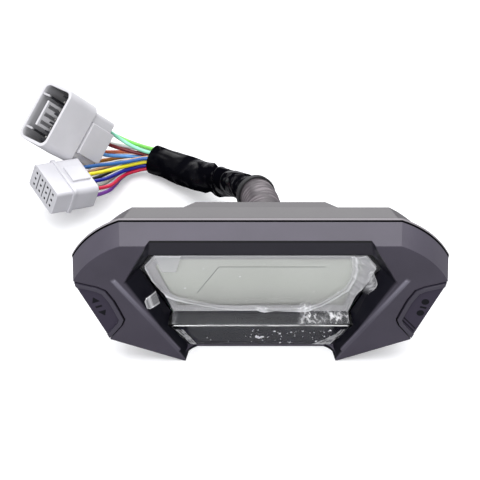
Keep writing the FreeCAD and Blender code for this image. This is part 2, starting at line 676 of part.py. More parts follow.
def wire_route(start, end, leave, entry, slack):
    """Evenly turning points that leave the sleeve and enter the connector squarely."""
    chord = (end - start).Length
    loose = Vector(*slack)
    points = [start, start + leave * (chord * LEAVE_REACH) + loose,
              end + entry * (chord * ENTRY_REACH) + loose, end]
    while len(points) < WIRE_POINTS:
        points = spread(points)
    return points


def spread(points):
    """The same bend drawn with one more point, each corner turning less."""
    count = len(points)
    inner = [points[i - 1] * (i / count) + points[i] * (1 - i / count) for i in range(1, count)]
    return [points[0]] + inner + [points[-1]]


def wires():
    routes = {}
    plug_axis = PLUG_TURN.multVec(Vector(1, 0, 0))
    for (name, (column, row), slack) in PLUG_WIRES:
        side = PLUG_COLUMN if column == -1 else -PLUG_COLUMN
        end = plug_point(PLUG_LENGTH, row * PLUG_ROW, side)
        routes[name] = wire_route(mouth_cell((column, row)), end, PLUG_LEAVE, plug_axis, slack)
    socket_axis = SOCKET_TURN.multVec(Vector(1, 0, 0))
    for (name, (column, row), slack) in SOCKET_WIRES:
        level = SOCKET_LEVEL if column == 2 else -SOCKET_LEVEL
        end = socket_point(SOCKET_LENGTH, row * SOCKET_PITCH, level)
        routes[name] = wire_route(mouth_cell((column, row)), end, SOCKET_LEAVE, socket_axis, slack)
    return routes


def place(shape, at, turn, length):
    placed = shape.copy()
    placed.Placement = Placement(at - turn.multVec(Vector(length, 0, 0)), turn)
    return placed


def brick(x0, x1, y_half, z_half, radius=0.0, y_mid=0.0, z_mid=0.0):
    """A block along local x, centred on the axis, with its long edges rounded."""
    block = Part.makeBox(x1 - x0, 2 * y_half, 2 * z_half, Vector(x0, y_mid - y_half, z_mid - z_half))
    if radius:
        long_edges = [edge for edge in block.Edges if edge.BoundBox.XLength > (x1 - x0) - 1e-6]
        block = block.makeFillet(radius, long_edges)
    return block


def plug_parts():
    y, z = PLUG_OUTER[0] / 2, PLUG_OUTER[1] / 2
    housing = brick(0, PLUG_STEP, y, z, 4.0)
    housing = housing.cut(brick(-1, PLUG_CAVITY, y - PLUG_WALL, z - PLUG_WALL, 3.0))
    housing = housing.fuse(brick(PLUG_STEP - 0.5, PLUG_LENGTH - 1.6, y - 2.2, z - 1.6, 2.0))
    housing = housing.fuse(brick(PLUG_STEP + 1.5, PLUG_LENGTH - 0.8, 8.4, 1.5, 0.5, -0.6, z - 1.0))
    for side in (-1, 1):
        housing = housing.fuse(brick(0.8, PLUG_CAVITY + 0.5, 0.5, 2.4, 0, side * 9.0, -z + PLUG_WALL + 2.2))
        housing = housing.fuse(brick(1.0, PLUG_STEP + 1, 1.2, 0.6, 0, side * 5.5, -z - 0.4))
    tongue = brick(0.8, PLUG_CAVITY + 0.5, 6.6, 0.6, 0, 0, -3.4)
    for index in (-1, 0, 1):
        tongue = tongue.cut(brick(2.2, 12.0, 0.9, 2, 0, index * 4.2, -3.4))
    housing = housing.fuse(tongue)
    rear_pocket = brick(PLUG_LENGTH - 6, PLUG_LENGTH, y - 4.0, z - 3.4, 2.0)
    housing = housing.cut(rear_pocket)
    pins, holes = [], []
    for index in range(5):
        for level in (1.4, 5.6):
            y_pin = (index - 2) * 4.8
            pins.append(brick(PLUG_CAVITY - 11.0, PLUG_CAVITY + 5.0, 0.45, 0.45, 0, y_pin, level))
            holes.append(brick(PLUG_CAVITY - 12, PLUG_CAVITY + 5.0, 0.47, 0.47, 0, y_pin, level))
    for hole in holes:
        housing = housing.cut(hole)
    retainer = brick(PLUG_CAVITY - 1.6, PLUG_CAVITY - 0.05, 13.2, 4.2, 0, 0, 3.6)
    for index in range(6):
        wall = brick(PLUG_CAVITY - 13.0, PLUG_CAVITY - 1.5, 0.45, 3.4, 0, (index - 2.5) * 4.8, 4.4)
        retainer = retainer.fuse(wall)
    for hole in holes:
        retainer = retainer.cut(hole)
    seal = brick(PLUG_LENGTH - 5.9, PLUG_LENGTH, y - 4.1, z - 3.5, 1.9)
    return housing, pins, retainer, seal


def socket_parts():
    y, z = SOCKET_OUTER[0] / 2, SOCKET_OUTER[1] / 2
    housing = brick(0, 9.5, y - 0.9, z - 0.7, 1.4)
    housing = housing.fuse(brick(9.0, 10.6, y, z, 1.6))
    housing = housing.fuse(brick(10.0, SOCKET_LENGTH - 2.0, y - 0.5, z - 0.4, 2.6))
    housing = housing.fuse(brick(12.0, 22.0, 5.0, 0.8, 0.4, 0, z - 0.2))
    housing = housing.cut(brick(-1, 2.2, y - 2.0, z - 1.8, 0.8))
    rear_pocket = brick(SOCKET_LENGTH - 7, SOCKET_LENGTH, y - 3.0, z - 2.6, 1.6)
    housing = housing.cut(rear_pocket)
    face = brick(0, 2.15, y - 2.05, z - 1.85, 0.75)
    terminals = []
    for column in range(4):
        for row in range(3):
            y_hole, z_hole = (column - 1.5) * 5.3, (row - 1) * 3.4
            bore = brick(-1, 17.0, 0.75, 0.75, 0, y_hole, z_hole)
            face = face.cut(bore)
            housing = housing.cut(bore)
            contact = brick(4.0, 17.0, 0.7, 0.7, 0, y_hole, z_hole)
            terminals.append(contact.cut(brick(3.0, 9.0, 0.4, 0.4, 0, y_hole, z_hole)))
    for slit in (-1, 0, 1):
        face = face.cut(brick(-1, 1.4, 0.4, z - 2.4, 0, slit * 5.3, 0))
    seal = brick(SOCKET_LENGTH - 6.9, SOCKET_LENGTH, y - 3.1, z - 2.7, 1.5)
    return housing, face, terminals, seal


# --- write every piece ----------------------------------------------------------
write("front_cover", front_cover())
write("rear_case", rear_case())
write("housing_seal", housing_seal())
write("lens", lens())
write("protective_film", protective_film())
write("display_mask", display_mask())
write("lcd_panel", display_plate(2.7, 4.7))
write("light_guide", display_plate(4.8, 7.0, 2.4, 2.6))
write("zebra_strips", *zebra_strips())
write("indicator_mask", indicator_mask())
write("indicator_light_box", indicator_light_box())
write("circuit_board", circuit_board())
write("backlight_leds", *[on_board(x, z, 3.0, 2.8, 0.6) for x in (-30, -10, 10, 30) for z in (34, 48)])
write("indicator_leds", *[on_board(x, 9.0, 2.0, 1.4, 0.9) for x in indicator_places()])
write("controller_chip", chip(-18, 34, 11, 11, 1.6))
write("driver_chips", *[chip(x, 32, 5, 7, 1.4) for x in (18, 30)])
write("capacitors", *[Part.makeCylinder(3.0, 2.6, point(x, BOARD_FRONT + BOARD_THICK, z), Vector(0, 1, 0))
                      for (x, z) in ((-42, 30), (-34, 30), (42, 30))])
write("harness_header", harness_header())
write("switch_bodies", *both(switch_body()))
write("case_screws", *case_screws())
write("board_screws", *board_screws())
write("mount_inserts", *mount_inserts())
write("mount_dampers", *mount_dampers())
write("vent_plug", vent_plug())
right_button, right_seal, right_plunger = button_cap(), button_seal(), switch_plunger()
write("button_right", right_button)
write("button_left", mirror(right_button))
write("button_seal_right", right_seal)
write("button_seal_left", mirror(right_seal))
write("switch_plunger_right", right_plunger)
write("switch_plunger_left", mirror(right_plunger))
write("cable_boot", cable_boot())
write("boot_tie", boot_tie())
write("harness_sleeve", tube(SLEEVE_ROUTE, SLEEVE_D / 2, "harness_sleeve"))
for wire_name, route in wires().items():
    write(wire_name, tube(route, WIRE_D / 2, wire_name))
for piece_name, piece in zip(("plug_housing", "plug_pins", "plug_retainer", "plug_wire_seal"), plug_parts()):
    pieces = piece if isinstance(piece, list) else [piece]
    write(piece_name, *[place(item, PLUG_AT, PLUG_TURN, PLUG_LENGTH) for item in pieces])
for piece_name, piece in zip(("socket_housing", "socket_face", "socket_terminals", "socket_wire_seal"),
                             socket_parts()):
    pieces = piece if isinstance(piece, list) else [piece]
    write(piece_name, *[place(item, SOCKET_AT, SOCKET_TURN, SOCKET_LENGTH) for item in pieces])
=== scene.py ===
import math
import random

import bpy
from mathutils import Euler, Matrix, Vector, noise


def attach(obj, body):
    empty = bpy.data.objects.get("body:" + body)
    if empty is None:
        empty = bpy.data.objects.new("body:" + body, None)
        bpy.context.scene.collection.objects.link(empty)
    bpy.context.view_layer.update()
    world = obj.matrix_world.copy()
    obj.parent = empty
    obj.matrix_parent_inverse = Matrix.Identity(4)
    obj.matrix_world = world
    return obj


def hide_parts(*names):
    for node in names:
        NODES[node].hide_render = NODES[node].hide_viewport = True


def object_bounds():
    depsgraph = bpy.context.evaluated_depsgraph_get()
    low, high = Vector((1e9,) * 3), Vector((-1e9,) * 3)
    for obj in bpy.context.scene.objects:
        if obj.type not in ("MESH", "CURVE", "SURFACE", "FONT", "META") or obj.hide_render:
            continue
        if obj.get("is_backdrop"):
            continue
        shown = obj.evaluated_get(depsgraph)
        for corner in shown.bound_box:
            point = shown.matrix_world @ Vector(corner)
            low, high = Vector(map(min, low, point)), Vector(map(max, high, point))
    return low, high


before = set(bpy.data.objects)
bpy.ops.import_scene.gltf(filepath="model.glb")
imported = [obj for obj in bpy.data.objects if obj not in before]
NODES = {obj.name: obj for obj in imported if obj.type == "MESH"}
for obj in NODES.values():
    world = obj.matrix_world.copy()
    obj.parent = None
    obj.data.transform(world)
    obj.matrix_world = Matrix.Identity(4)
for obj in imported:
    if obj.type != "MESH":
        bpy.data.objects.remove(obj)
CAD_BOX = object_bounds()
MM = 0.001
HOUSING = "housing"

# --- driving dimensions, in millimetres, as in the CAD source ---------------------
BODY_DEPTH = 36.0
BUTTON_PROUD = 0.5
FACE_Y = (BUTTON_PROUD - BODY_DEPTH) / 2
BUMP = 29.5
LENS_TOP = (5.0, 59.3)
LENS_FOOT = (12.0, 19.3)
SHELF_LIP = (5.0, 17.5)
PANEL_FOOT = (8.7, 1.8)
EXIT = Vector((3.0, FACE_Y + BUMP, 46.0))
BOOT_R = 8.2
BOOT_ROUTE = [EXIT, Vector((3.0, 37.0, 46.0)), Vector((-3.0, 52.0, 39.0))]
SLEEVE_D = 14.0
SLEEVE_WALL = 0.55
SLEEVE_REACH = 8.6         # no fold stands further out than this
SLEEVE_ROUTE = [Vector(p) for p in ((-3.0, 52.0, 39.0), (-8.4, 65.5, 32.7), (-16.5, 80.5, 21.5),
                                    (-27.5, 95.5, 12.2), (-40.0, 107.5, 8.0), (-54.0, 116.0, 7.3))]
WIRE_D = 1.9
LEAVE_REACH = 0.45
ENTRY_REACH = 0.3
WIRE_POINTS = 6
WIRE_INSIDE = 7.0          # length of each wire hidden in the sleeve
PLUG_LEAVE = Vector((-0.93, 0.36, 0.0))
SOCKET_LEAVE = Vector((-0.94, -0.34, 0.0))
COLUMN_PITCH = 2.2
ROW_STEP = 1.08
STAGGER = 0.5
PLUG_ROW, PLUG_COLUMN = 3.0, 3.4
SOCKET_PITCH, SOCKET_LEVEL = 2.6, 2.3
PLUG_AT = Vector((-84.6, 119.4, 15.1))
PLUG_LENGTH = 38.0
SOCKET_AT = Vector((-85.1, 89.6, 14.6))
PLUG_OUTER = (31.0, 21.0)
PLUG_CAVITY = 17.0
PANEL_DEPTH = 0.4          # the buttons' recessed panels
RIM = (14.85, 16.4)        # depths of the rear case's proud rim

# wires: name, cell in the sleeve's mouth, slack, length, colour
PLUG_WIRES = [
    ("light_green", (-2, 3), (0.0, 0.0, 0.2), 35.5, (0.20, 0.62, 0.10)),
    ("mint", (-1, 3), (-0.1, 0.0, 0.1), 30.0, (0.30, 0.78, 0.55)),
    ("white", (-2, 1), (0.2, 0.0, 0.1), 37.5, (0.80, 0.82, 0.80)),
    ("maroon", (-1, 1), (0.1, 0.0, 0.0), 31.5, (0.16, 0.006, 0.012)),
    ("sky_blue", (-1, -1), (0.0, 0.0, 0.0), 34.5, (0.12, 0.36, 0.80)),
    ("salmon", (-2, -1), (0.0, 0.0, 0.0), 40.0, (0.80, 0.16, 0.06)),
    ("teal", (-1, -3), (0.0, 0.0, -0.1), 38.0, (0.01, 0.24, 0.13)),
    ("amber", (-2, -3), (0.0, 0.0, -0.1), 43.5, (0.70, 0.25, 0.03)),
]
SOCKET_WIRES = [
    ("tan", (1, 3), (-1, 2.9, -1.4), 42.5, (0.60, 0.33, 0.15)),
    ("blue", (2, 3), (0.1, 0.1, 0.1), 38.0, (0.02, 0.11, 0.36)),
    ("black", (1, 1), (-1, 3, -1.5), 43.0, (0.010, 0.010, 0.012)),
    ("yellow", (2, 1), (0.0, 0.0, 0.0), 38.5, (0.85, 0.76, 0.02)),
    ("grey", (1, -1), (-0.5, 3.0, -1.5), 44.0, (0.50, 0.52, 0.44)),
    ("navy", (2, -1), (0.0, 0.0, -0.1), 40.5, (0.006, 0.012, 0.30)),
    ("violet", (1, -3), (0.1, 3, -1.5), 46.5, (0.24, 0.05, 0.45)),
    ("red", (2, -3), (0.0, 0.0, -0.2), 43.0, (0.60, 0.015, 0.06)),
]


# --- general helpers --------------------------------------------------------------
def turned(yaw, pitch, roll):
    """Rotation by roll about X, then pitch about Y, then yaw about Z, in degrees."""
    angles = [math.radians(a) for a in (roll, pitch, yaw)]
    return Euler(angles, "XYZ").to_matrix()


PLUG_TURN = turned(34.0, 50.0, 75.0)
SOCKET_TURN = turned(36.0, 16.4, 9.7)


def point(x, depth, z):
    """A point behind the wing face, in millimetres."""
    return Vector((x, FACE_Y + depth, z))


def new_object(name, data):
    piece = bpy.data.objects.new(name, data)
    bpy.context.scene.collection.objects.link(piece)
    return piece


def mesh_piece(name, points, faces, material, smooth=True, body=HOUSING):
    """A mesh from points in millimetres; it rides on a body and takes the given material."""
    mesh = bpy.data.meshes.new(name)
    mesh.from_pydata([Vector(p) * MM for p in points], [], faces)
    mesh.update()
    for polygon in mesh.polygons:
        polygon.use_smooth = smooth
    mesh.materials.append(material)
    piece = new_object(name, mesh)
    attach(piece, body)
    return piece


def set_point_values(piece, name, values):
    layer = piece.data.attributes.new(name, "FLOAT", "POINT")
    layer.data.foreach_set("value", values)


def ramp(value, low, high):
    """0 below low, 1 above high, smooth between."""
    t = min(max((value - low) / (high - low), 0.0), 1.0)
    return t * t * (3 - 2 * t)


# --- material helpers -------------------------------------------------------------
class Nodes:
    """One node material with its Principled shader and a few shorthand calls."""

    def __init__(self, name):
        self.material = bpy.data.materials.new(name)
        self.material.use_nodes = True
        self.tree = self.material.node_tree
        self.shader = self.tree.nodes["Principled BSDF"]
        self.place = self.add("ShaderNodeTexCoord").outputs["Object"]

    def add(self, kind, **settings):
        node = self.tree.nodes.new(kind)
        for key, value in settings.items():
            if key in node.inputs:
                node.inputs[key].default_value = value
            else:
                setattr(node, key, value)
        return node

    def link(self, output, target):
        self.tree.links.new(output, target)

    def noise(self, scale, detail=3.0, distortion=0.0, stretch=None):
        node = self.add("ShaderNodeTexNoise", Scale=scale, Detail=detail, Distortion=distortion)
        source = self.place
        if stretch:
            mapping = self.add("ShaderNodeMapping", Scale=stretch)
            self.link(source, mapping.inputs["Vector"])
            source = mapping.outputs["Vector"]
        self.link(source, node.inputs["Vector"])
        return node.outputs["Fac"]

    def colours(self, factor, *stops):
        node = self.add("ShaderNodeValToRGB")
        elements = node.color_ramp.elements
        for element, (place, colour) in zip(elements, (stops[0], stops[-1])):
            element.position = place
            element.color = (*colour, 1.0)
        for (place, colour) in stops[1:-1]:
            elements.new(place).color = (*colour, 1.0)
        self.link(factor, node.inputs["Fac"])
        return node.outputs["Color"]

    def math(self, operation, *values):
        node = self.add("ShaderNodeMath", operation=operation)
        for socket, value in zip(node.inputs, values):
            if isinstance(value, (int, float)):
                socket.default_value = value
            else:
                self.link(value, socket)
        return node.outputs["Value"]

    def axis(self, centre, direction):
        """Distance in millimetres from a point, measured along a direction."""
        away = self.add("ShaderNodeVectorMath", operation="SUBTRACT")
        self.link(self.place, away.inputs[0])
        away.inputs[1].default_value = centre * MM
        along = self.add("ShaderNodeVectorMath", operation="DOT_PRODUCT")
        self.link(away.outputs["Vector"], along.inputs[0])
        along.inputs[1].default_value = direction / MM
        return along.outputs["Value"]

    def blend(self, amount, first, second):
        """Mix of two colours, each a socket or three numbers."""
        node = self.add("ShaderNodeMix", data_type="RGBA")
        self.link(amount, node.inputs["Factor"])
        for socket, value in ((node.inputs[6], first), (node.inputs[7], second)):
            if isinstance(value, tuple):
                socket.default_value = (*value, 1.0)
            else:
                self.link(value, socket)
        return node.outputs[2]

    def spread(self, factor, low, high, start=0.3, end=0.7):
        node = self.add("ShaderNodeMapRange")
        for key, value in (("From Min", start), ("From Max", end), ("To Min", low), ("To Max", high)):
            node.inputs[key].default_value = value
        self.link(factor, node.inputs["Value"])
        return node.outputs["Result"]

    def bump(self, height, strength, distance, edge=0.0, normal=None):
        node = self.add("ShaderNodeBump", Strength=strength, Distance=distance)
        self.link(height, node.inputs["Height"])
        if normal is None and edge:
            rounding = self.add("ShaderNodeBevel", samples=6)
            rounding.inputs["Radius"].default_value = edge
            normal = rounding.outputs["Normal"]
        if normal is not None:
            self.link(normal, node.inputs["Normal"])
        return node.outputs["Normal"]


def shade(colour, factor):
    return tuple(min(c * factor, 1.0) for c in colour)


def moulded(name, colour, rough, grain=2600.0, bump=0.25, patch=45.0, contrast=0.12, edge=0.00035,
            specular=0.5, rough_spread=0.05, shaded=()):
    """Moulded plastic or rubber: fine grain, soft patches of shade and gloss, rounded edges.
    shaded is a list of (function giving an amount, colour) for regions drawn in another colour, mostly
    painted shade in recesses and painted highlights on edges."""
    kit = Nodes(name)
    broad = kit.noise(patch, 4.0)
    colours = kit.colours(broad, (0.30, shade(colour, 1 - contrast)), (0.70, shade(colour, 1 + contrast)))
    level = specular
    for index, (region, second) in enumerate(shaded):
        amount = region(kit)
        colours = kit.blend(amount, colours, second)
        if index == 0:
            level = kit.spread(amount, specular, specular * 0.3, 0.0, 1.0)
    kit.link(colours, kit.shader.inputs["Base Color"])
    kit.link(kit.spread(broad, rough - rough_spread, rough + rough_spread), kit.shader.inputs["Roughness"])
    if shaded:
        kit.link(level, kit.shader.inputs["Specular IOR Level"])
    else:
        kit.shader.inputs["Specular IOR Level"].default_value = level
    kit.link(kit.bump(kit.noise(grain, 2.0), bump, 0.00004, edge), kit.shader.inputs["Normal"])
    return kit.material


ACROSS, BACK, UP = Vector((1, 0, 0)), Vector((0, 1, 0)), Vector((0, 0, 1))
MIDDLE = point(0, 0, 0)


def facing(kit, axis):
    """One part of the surface's direction."""
    split = kit.add("ShaderNodeSeparateXYZ")
    kit.link(kit.add("ShaderNodeNewGeometry").outputs["True Normal"], split.inputs["Vector"])
    return split.outputs[axis]


def all_of(kit, *amounts):
    total = amounts[0]
    for amount in amounts[1:]:
        total = kit.math("MULTIPLY", total, amount)
    return total


def opening_wall_shade(kit):
    """1 on the walls of the display opening, which face the middle, and 0 elsewhere; these walls get painted
    shade, near black.
    """
    across = kit.axis(MIDDLE, ACROSS)
    inward = kit.math("LESS_THAN", kit.math("MULTIPLY", across, facing(kit, "X")), -4.0)
    deep = kit.spread(kit.axis(MIDDLE, BACK), 0.0, 1.0, 0.2, 1.2)
    near = kit.math("LESS_THAN", kit.math("ABSOLUTE", across), 59.7)
    return all_of(kit, inward, deep, near)


def upper_band_shade(kit):
    """The band over the display, darkened with painted shade under the top wall's front edge."""
    near = kit.math("LESS_THAN", kit.math("ABSOLUTE", kit.axis(MIDDLE, ACROSS)), 49.5)
    high = kit.math("GREATER_THAN", kit.axis(MIDDLE, UP), 58.0)
    deep = kit.math("GREATER_THAN", kit.axis(MIDDLE, BACK), 2.2)
    front = kit.math("LESS_THAN", facing(kit, "Y"), -0.3)
    return all_of(kit, near, high, deep, front)


def band_shadow_line(kit):
    """Painted shadow: the dark line under the front edge of the top wall, over the display."""
    near = kit.math("LESS_THAN", kit.math("ABSOLUTE", kit.axis(MIDDLE, ACROSS)), 47.0)
    high = kit.math("GREATER_THAN", kit.axis(MIDDLE, UP), 68.1)
    front = kit.math("LESS_THAN", facing(kit, "Y"), -0.3)
    return all_of(kit, near, high, front)


RIDGE_TOP, RIDGE_FOOT = Vector((62.4, 0, 48.4)), Vector((36.4, 0, 6.8))


def ridge_highlight(kit):
    """Painted highlight along the bead on each wing's inner edge, palest at its upper end."""
    along = (RIDGE_FOOT - RIDGE_TOP).normalized()
    side = Vector((along.z, 0, -along.x))
    place = kit.add("ShaderNodeCombineXYZ")
    kit.link(kit.math("ABSOLUTE", kit.axis(MIDDLE, ACROSS)), place.inputs["X"])
    kit.link(kit.axis(MIDDLE, UP), place.inputs["Z"])

    def reading(direction):
        away = kit.add("ShaderNodeVectorMath", operation="SUBTRACT")
        kit.link(place.outputs["Vector"], away.inputs[0])
        away.inputs[1].default_value = RIDGE_TOP
        node = kit.add("ShaderNodeVectorMath", operation="DOT_PRODUCT")
        kit.link(away.outputs["Vector"], node.inputs[0])
        node.inputs[1].default_value = direction
        return node.outputs["Value"]

    close = kit.spread(kit.math("ABSOLUTE", reading(side)), 1.0, 0.0, 0.8, 1.5)
    fade = kit.spread(reading(along), 0.75, 0.16, 1.0, 30.0)
    start = kit.spread(reading(along), 0.0, 1.0, -2.0, -0.5)
    shallow = kit.math("LESS_THAN", kit.axis(MIDDLE, BACK), 0.35)
    return all_of(kit, close, fade, start, shallow)


def lip_highlight(kit):
    """Painted highlight on the front edge of the base lip between the wings."""
    near = kit.math("LESS_THAN", kit.math("ABSOLUTE", kit.axis(MIDDLE, ACROSS)), 29.0)
    low = kit.math("LESS_THAN", kit.axis(MIDDLE, UP), 1.75)
    front = kit.spread(kit.axis(MIDDLE, BACK), 1.0, 0.0, 9.2, 9.6)
    return all_of(kit, near, low, front)


def rim_highlight(kit):
    """Painted highlight on the rear case's proud rim along the joint."""
    depth = kit.axis(MIDDLE, BACK)
    start = kit.math("GREATER_THAN", depth, RIM[0])
    return all_of(kit, start, kit.math("LESS_THAN", depth, RIM[1]))


def joint_face(kit):
    """The rim's face towards the joint, always in shade."""
    depth = kit.axis(MIDDLE, BACK)
    near = kit.math("MULTIPLY", kit.math("GREATER_THAN", depth, 14.7), kit.math("LESS_THAN", depth, 15.02))
    return all_of(kit, near, kit.math("LESS_THAN", facing(kit, "Y"), -0.5))


def button_panel(kit):
    """The recessed middle of a button."""
    depth = kit.axis(MIDDLE, BACK)
    return kit.spread(depth, 0.0, 1.0, PANEL_DEPTH - 0.5, PANEL_DEPTH - 0.1)


def plug_cavity_shade(kit):
    """Painted shade in the plug's cavity: grows from 0 at the plug's mouth to 1 well inside the cavity."""
    mouth = PLUG_AT - PLUG_TURN @ Vector((PLUG_LENGTH, 0, 0))
    inward, wide, tall = [kit.axis(mouth, PLUG_TURN @ direction) for direction in (ACROSS, BACK, UP)]
    depth = kit.spread(inward, 0.0, 1.0, 0.2, 2.6)
    before_floor = kit.math("LESS_THAN", inward, PLUG_CAVITY + 0.3)
    in_width = kit.math("LESS_THAN", kit.math("ABSOLUTE", wide), PLUG_OUTER[0] / 2 - 1.2)
    below_lid = kit.math("LESS_THAN", tall, PLUG_OUTER[1] / 2 - 1.2)
    off_tongue = kit.math("MAXIMUM", kit.math("GREATER_THAN", tall, -2.7), kit.math("LESS_THAN", tall, -4.1))
    above_base = kit.spread(tall, 0.45, 1.0, -PLUG_OUTER[1] / 2 + 1.4, -5.0)
    amount = all_of(kit, depth, before_floor, in_width, below_lid, off_tongue, above_base)
    return kit.math("MULTIPLY", amount, 0.97)


def socket_holes(kit):
    """The walls of the holes in the socket's face, in shade from just inside the face."""
    axis = SOCKET_TURN @ ACROSS
    front = min(vertex.co.dot(axis) for vertex in NODES["socket_face"].data.vertices) / MM
    return kit.spread(kit.axis(axis * front, axis), 0.0, 1.0, 0.12, 0.5)


def metal(name, colour, rough, grain=1500.0):
    kit = Nodes(name)
    broad = kit.noise(220.0, 3.0)
    kit.link(kit.colours(broad, (0.3, shade(colour, 0.8)), (0.7, shade(colour, 1.1))),
             kit.shader.inputs["Base Color"])
    kit.shader.inputs["Metallic"].default_value = 1.0
    kit.link(kit.spread(broad, rough - 0.06, rough + 0.1), kit.shader.inputs["Roughness"])
    kit.link(kit.bump(kit.noise(grain, 2.0), 0.2, 0.00003, 0.0002), kit.shader.inputs["Normal"])
    return kit.material


# --- materials --------------------------------------------------------------------
# front shell: painted shade on the opening walls and on the band over the display, a painted shadow line
# under the top wall's front edge, and painted highlights on the wing ridges and the base lip
front_shell = moulded("front_shell_plastic", (0.055, 0.048, 0.068), 0.42, specular=0.47, edge=0.0005,
                      shaded=[(opening_wall_shade, (0.0035, 0.0033, 0.0075)), (upper_band_shade, (0.018, 0.016, 0.025)),
                              (band_shadow_line, (0.001, 0.001, 0.002)), (ridge_highlight, (0.22, 0.21, 0.26)),
                              (lip_highlight, (0.062, 0.056, 0.075))])
# rear shell: painted highlight on the rim, and painted shade on the rim's face towards the joint
rear_shell = moulded("rear_shell_plastic", (0.060, 0.055, 0.060), 0.40, specular=0.6, edge=0.0005,
                     shaded=[(rim_highlight, (0.22, 0.205, 0.22)), (joint_face, (0.002, 0.002, 0.003))])
button_plastic = moulded("button_plastic", (0.054, 0.048, 0.067), 0.38, specular=0.5,
                         shaded=[(button_panel, (0.046, 0.039, 0.060))])
mark_paint = moulded("button_mark_paint", (0.004, 0.004, 0.007), 0.6, specular=0.2)
black_frame = moulded("black_frame_plastic", (0.003, 0.0027, 0.0065), 0.4, bump=0.02, specular=0.15)
panel_tint = moulded("panel_tint_plastic", (0.006, 0.005, 0.013), 0.16, bump=0.01, specular=0.2)
black_rubber = moulded("black_rubber", (0.012, 0.012, 0.013), 0.62, grain=1600.0, bump=0.4)
grey_connector = moulded("grey_nylon", (0.60, 0.595, 0.63), 0.42, patch=70.0, contrast=0.05, edge=0.0003)
# painted shade inside the plug's cavity, on the housing and on the insert
plug_nylon = moulded("plug_nylon", (0.64, 0.635, 0.66), 0.42, patch=70.0, contrast=0.05, edge=0.0004,
                     shaded=[(plug_cavity_shade, (0.010, 0.010, 0.014))])
plug_insert = moulded("plug_insert_nylon", (0.30, 0.30, 0.32), 0.45, patch=90.0, contrast=0.06,
                      shaded=[(plug_cavity_shade, (0.012, 0.012, 0.016))])
white_insert = moulded("pale_nylon_insert", (0.60, 0.60, 0.63), 0.40, patch=90.0, contrast=0.06,
                       shaded=[(socket_holes, (0.012, 0.012, 0.015))])
silicone = moulded("silicone_wire_seal", (0.16, 0.16, 0.18), 0.5, grain=1200.0, bump=0.3)
chip_plastic = moulded("chip_plastic", (0.018, 0.018, 0.018), 0.5)
header_nylon = moulded("header_nylon", (0.60, 0.58, 0.50), 0.45)
white_guide = moulded("white_guide_plastic", (0.75, 0.76, 0.76), 0.3)
diode = moulded("diode_package", (0.75, 0.70, 0.45), 0.3)
steel = metal("zinc_steel", (0.55, 0.55, 0.56), 0.32)
brass = metal("turned_brass", (0.72, 0.52, 0.22), 0.3)
tin = metal("tinned_terminal", (0.66, 0.64, 0.60), 0.28)
# the socket's terminals are painted near black as painted shade in the holes of its face
terminal_shade_metal = metal("socket_contact_shade_metal", (0.06, 0.06, 0.06), 0.45)


def board_material():
    kit = Nodes("solder_mask_board")
    broad = kit.noise(160.0, 5.0)
    kit.link(kit.colours(broad, (0.45, (0.012, 0.10, 0.035)), (0.55, (0.02, 0.16, 0.06))),
             kit.shader.inputs["Base Color"])
    kit.shader.inputs["Roughness"].default_value = 0.28
    kit.link(kit.bump(kit.noise(700.0), 0.2, 0.00004, 0.0002), kit.shader.inputs["Normal"])
    return kit.material


def lens_material():
    kit = Nodes("clear_lens")
    shader = kit.shader
    kit.link(kit.colours(kit.noise(25.0), (0.3, (0.93, 0.94, 0.94)), (0.7, (0.97, 0.98, 0.98))),
             shader.inputs["Base Color"])
    shader.inputs["Transmission Weight"].default_value = 1.0
    shader.inputs["IOR"].default_value = 1.42
    kit.link(kit.spread(kit.noise(18.0, 5.0), 0.0, 0.03), shader.inputs["Roughness"])
    kit.link(kit.bump(kit.noise(60.0, 2.0), 0.04, 0.00005), shader.inputs["Normal"])
    through = kit.add("ShaderNodeBsdfTransparent", Color=(0.90, 0.91, 0.91, 1.0))
    mix = kit.add("ShaderNodeMixShader")
    kit.link(kit.add("ShaderNodeLightPath").outputs["Is Shadow Ray"], mix.inputs["Fac"])
    kit.link(shader.outputs["BSDF"], mix.inputs[1])
    kit.link(through.outputs["BSDF"], mix.inputs[2])
    kit.link(mix.outputs["Shader"], kit.tree.nodes["Material Output"].inputs["Surface"])
    return kit.material


def display_material():
    """Reflective display glass: grey-green, a little lighter along the top."""
    kit = Nodes("display_glass")
    shader = kit.shader
    split = kit.add("ShaderNodeSeparateXYZ")
    kit.link(kit.place, split.inputs["Vector"])
    height = kit.spread(split.outputs["Z"], 0.0, 1.0, 0.021, 0.058)
    cloud = kit.noise(30.0, 3.0)
    blend = kit.math("MULTIPLY_ADD", cloud, 0.25, height)
    kit.link(kit.colours(blend, (0.05, (0.44, 0.43, 0.415)), (0.55, (0.66, 0.67, 0.62)),
                         (1.0, (0.73, 0.735, 0.69))), shader.inputs["Base Color"])
    shader.inputs["Roughness"].default_value = 0.22
    kit.link(kit.bump(kit.noise(2200.0, 1.0), 0.1, 0.00003), shader.inputs["Normal"])
    return kit.material


def film_material():
    """Thin protective film: clear where it lies flat, milky where it is lifted or creased; the same attribute
    also holds a painted glare patch and painted glints.
    """
    kit = Nodes("protective_film_plastic")
    shader = kit.shader
    milk_and_glare = kit.add("ShaderNodeAttribute", attribute_name="milk_and_glare").outputs["Fac"]
    kit.link(kit.colours(milk_and_glare, (0.0, (0.70, 0.70, 0.72)), (1.0, (0.92, 0.92, 0.94))),
             shader.inputs["Base Color"])
    shader.inputs["Roughness"].default_value = 0.16
    shader.inputs["Specular IOR Level"].default_value = 0.8
    kit.link(kit.spread(milk_and_glare, 0.02, 0.95, 0.0, 1.0), shader.inputs["Alpha"])
    kit.link(kit.bump(kit.noise(260.0, 4.0, 0.6), 0.25, 0.0002), shader.inputs["Normal"])
    return kit.material


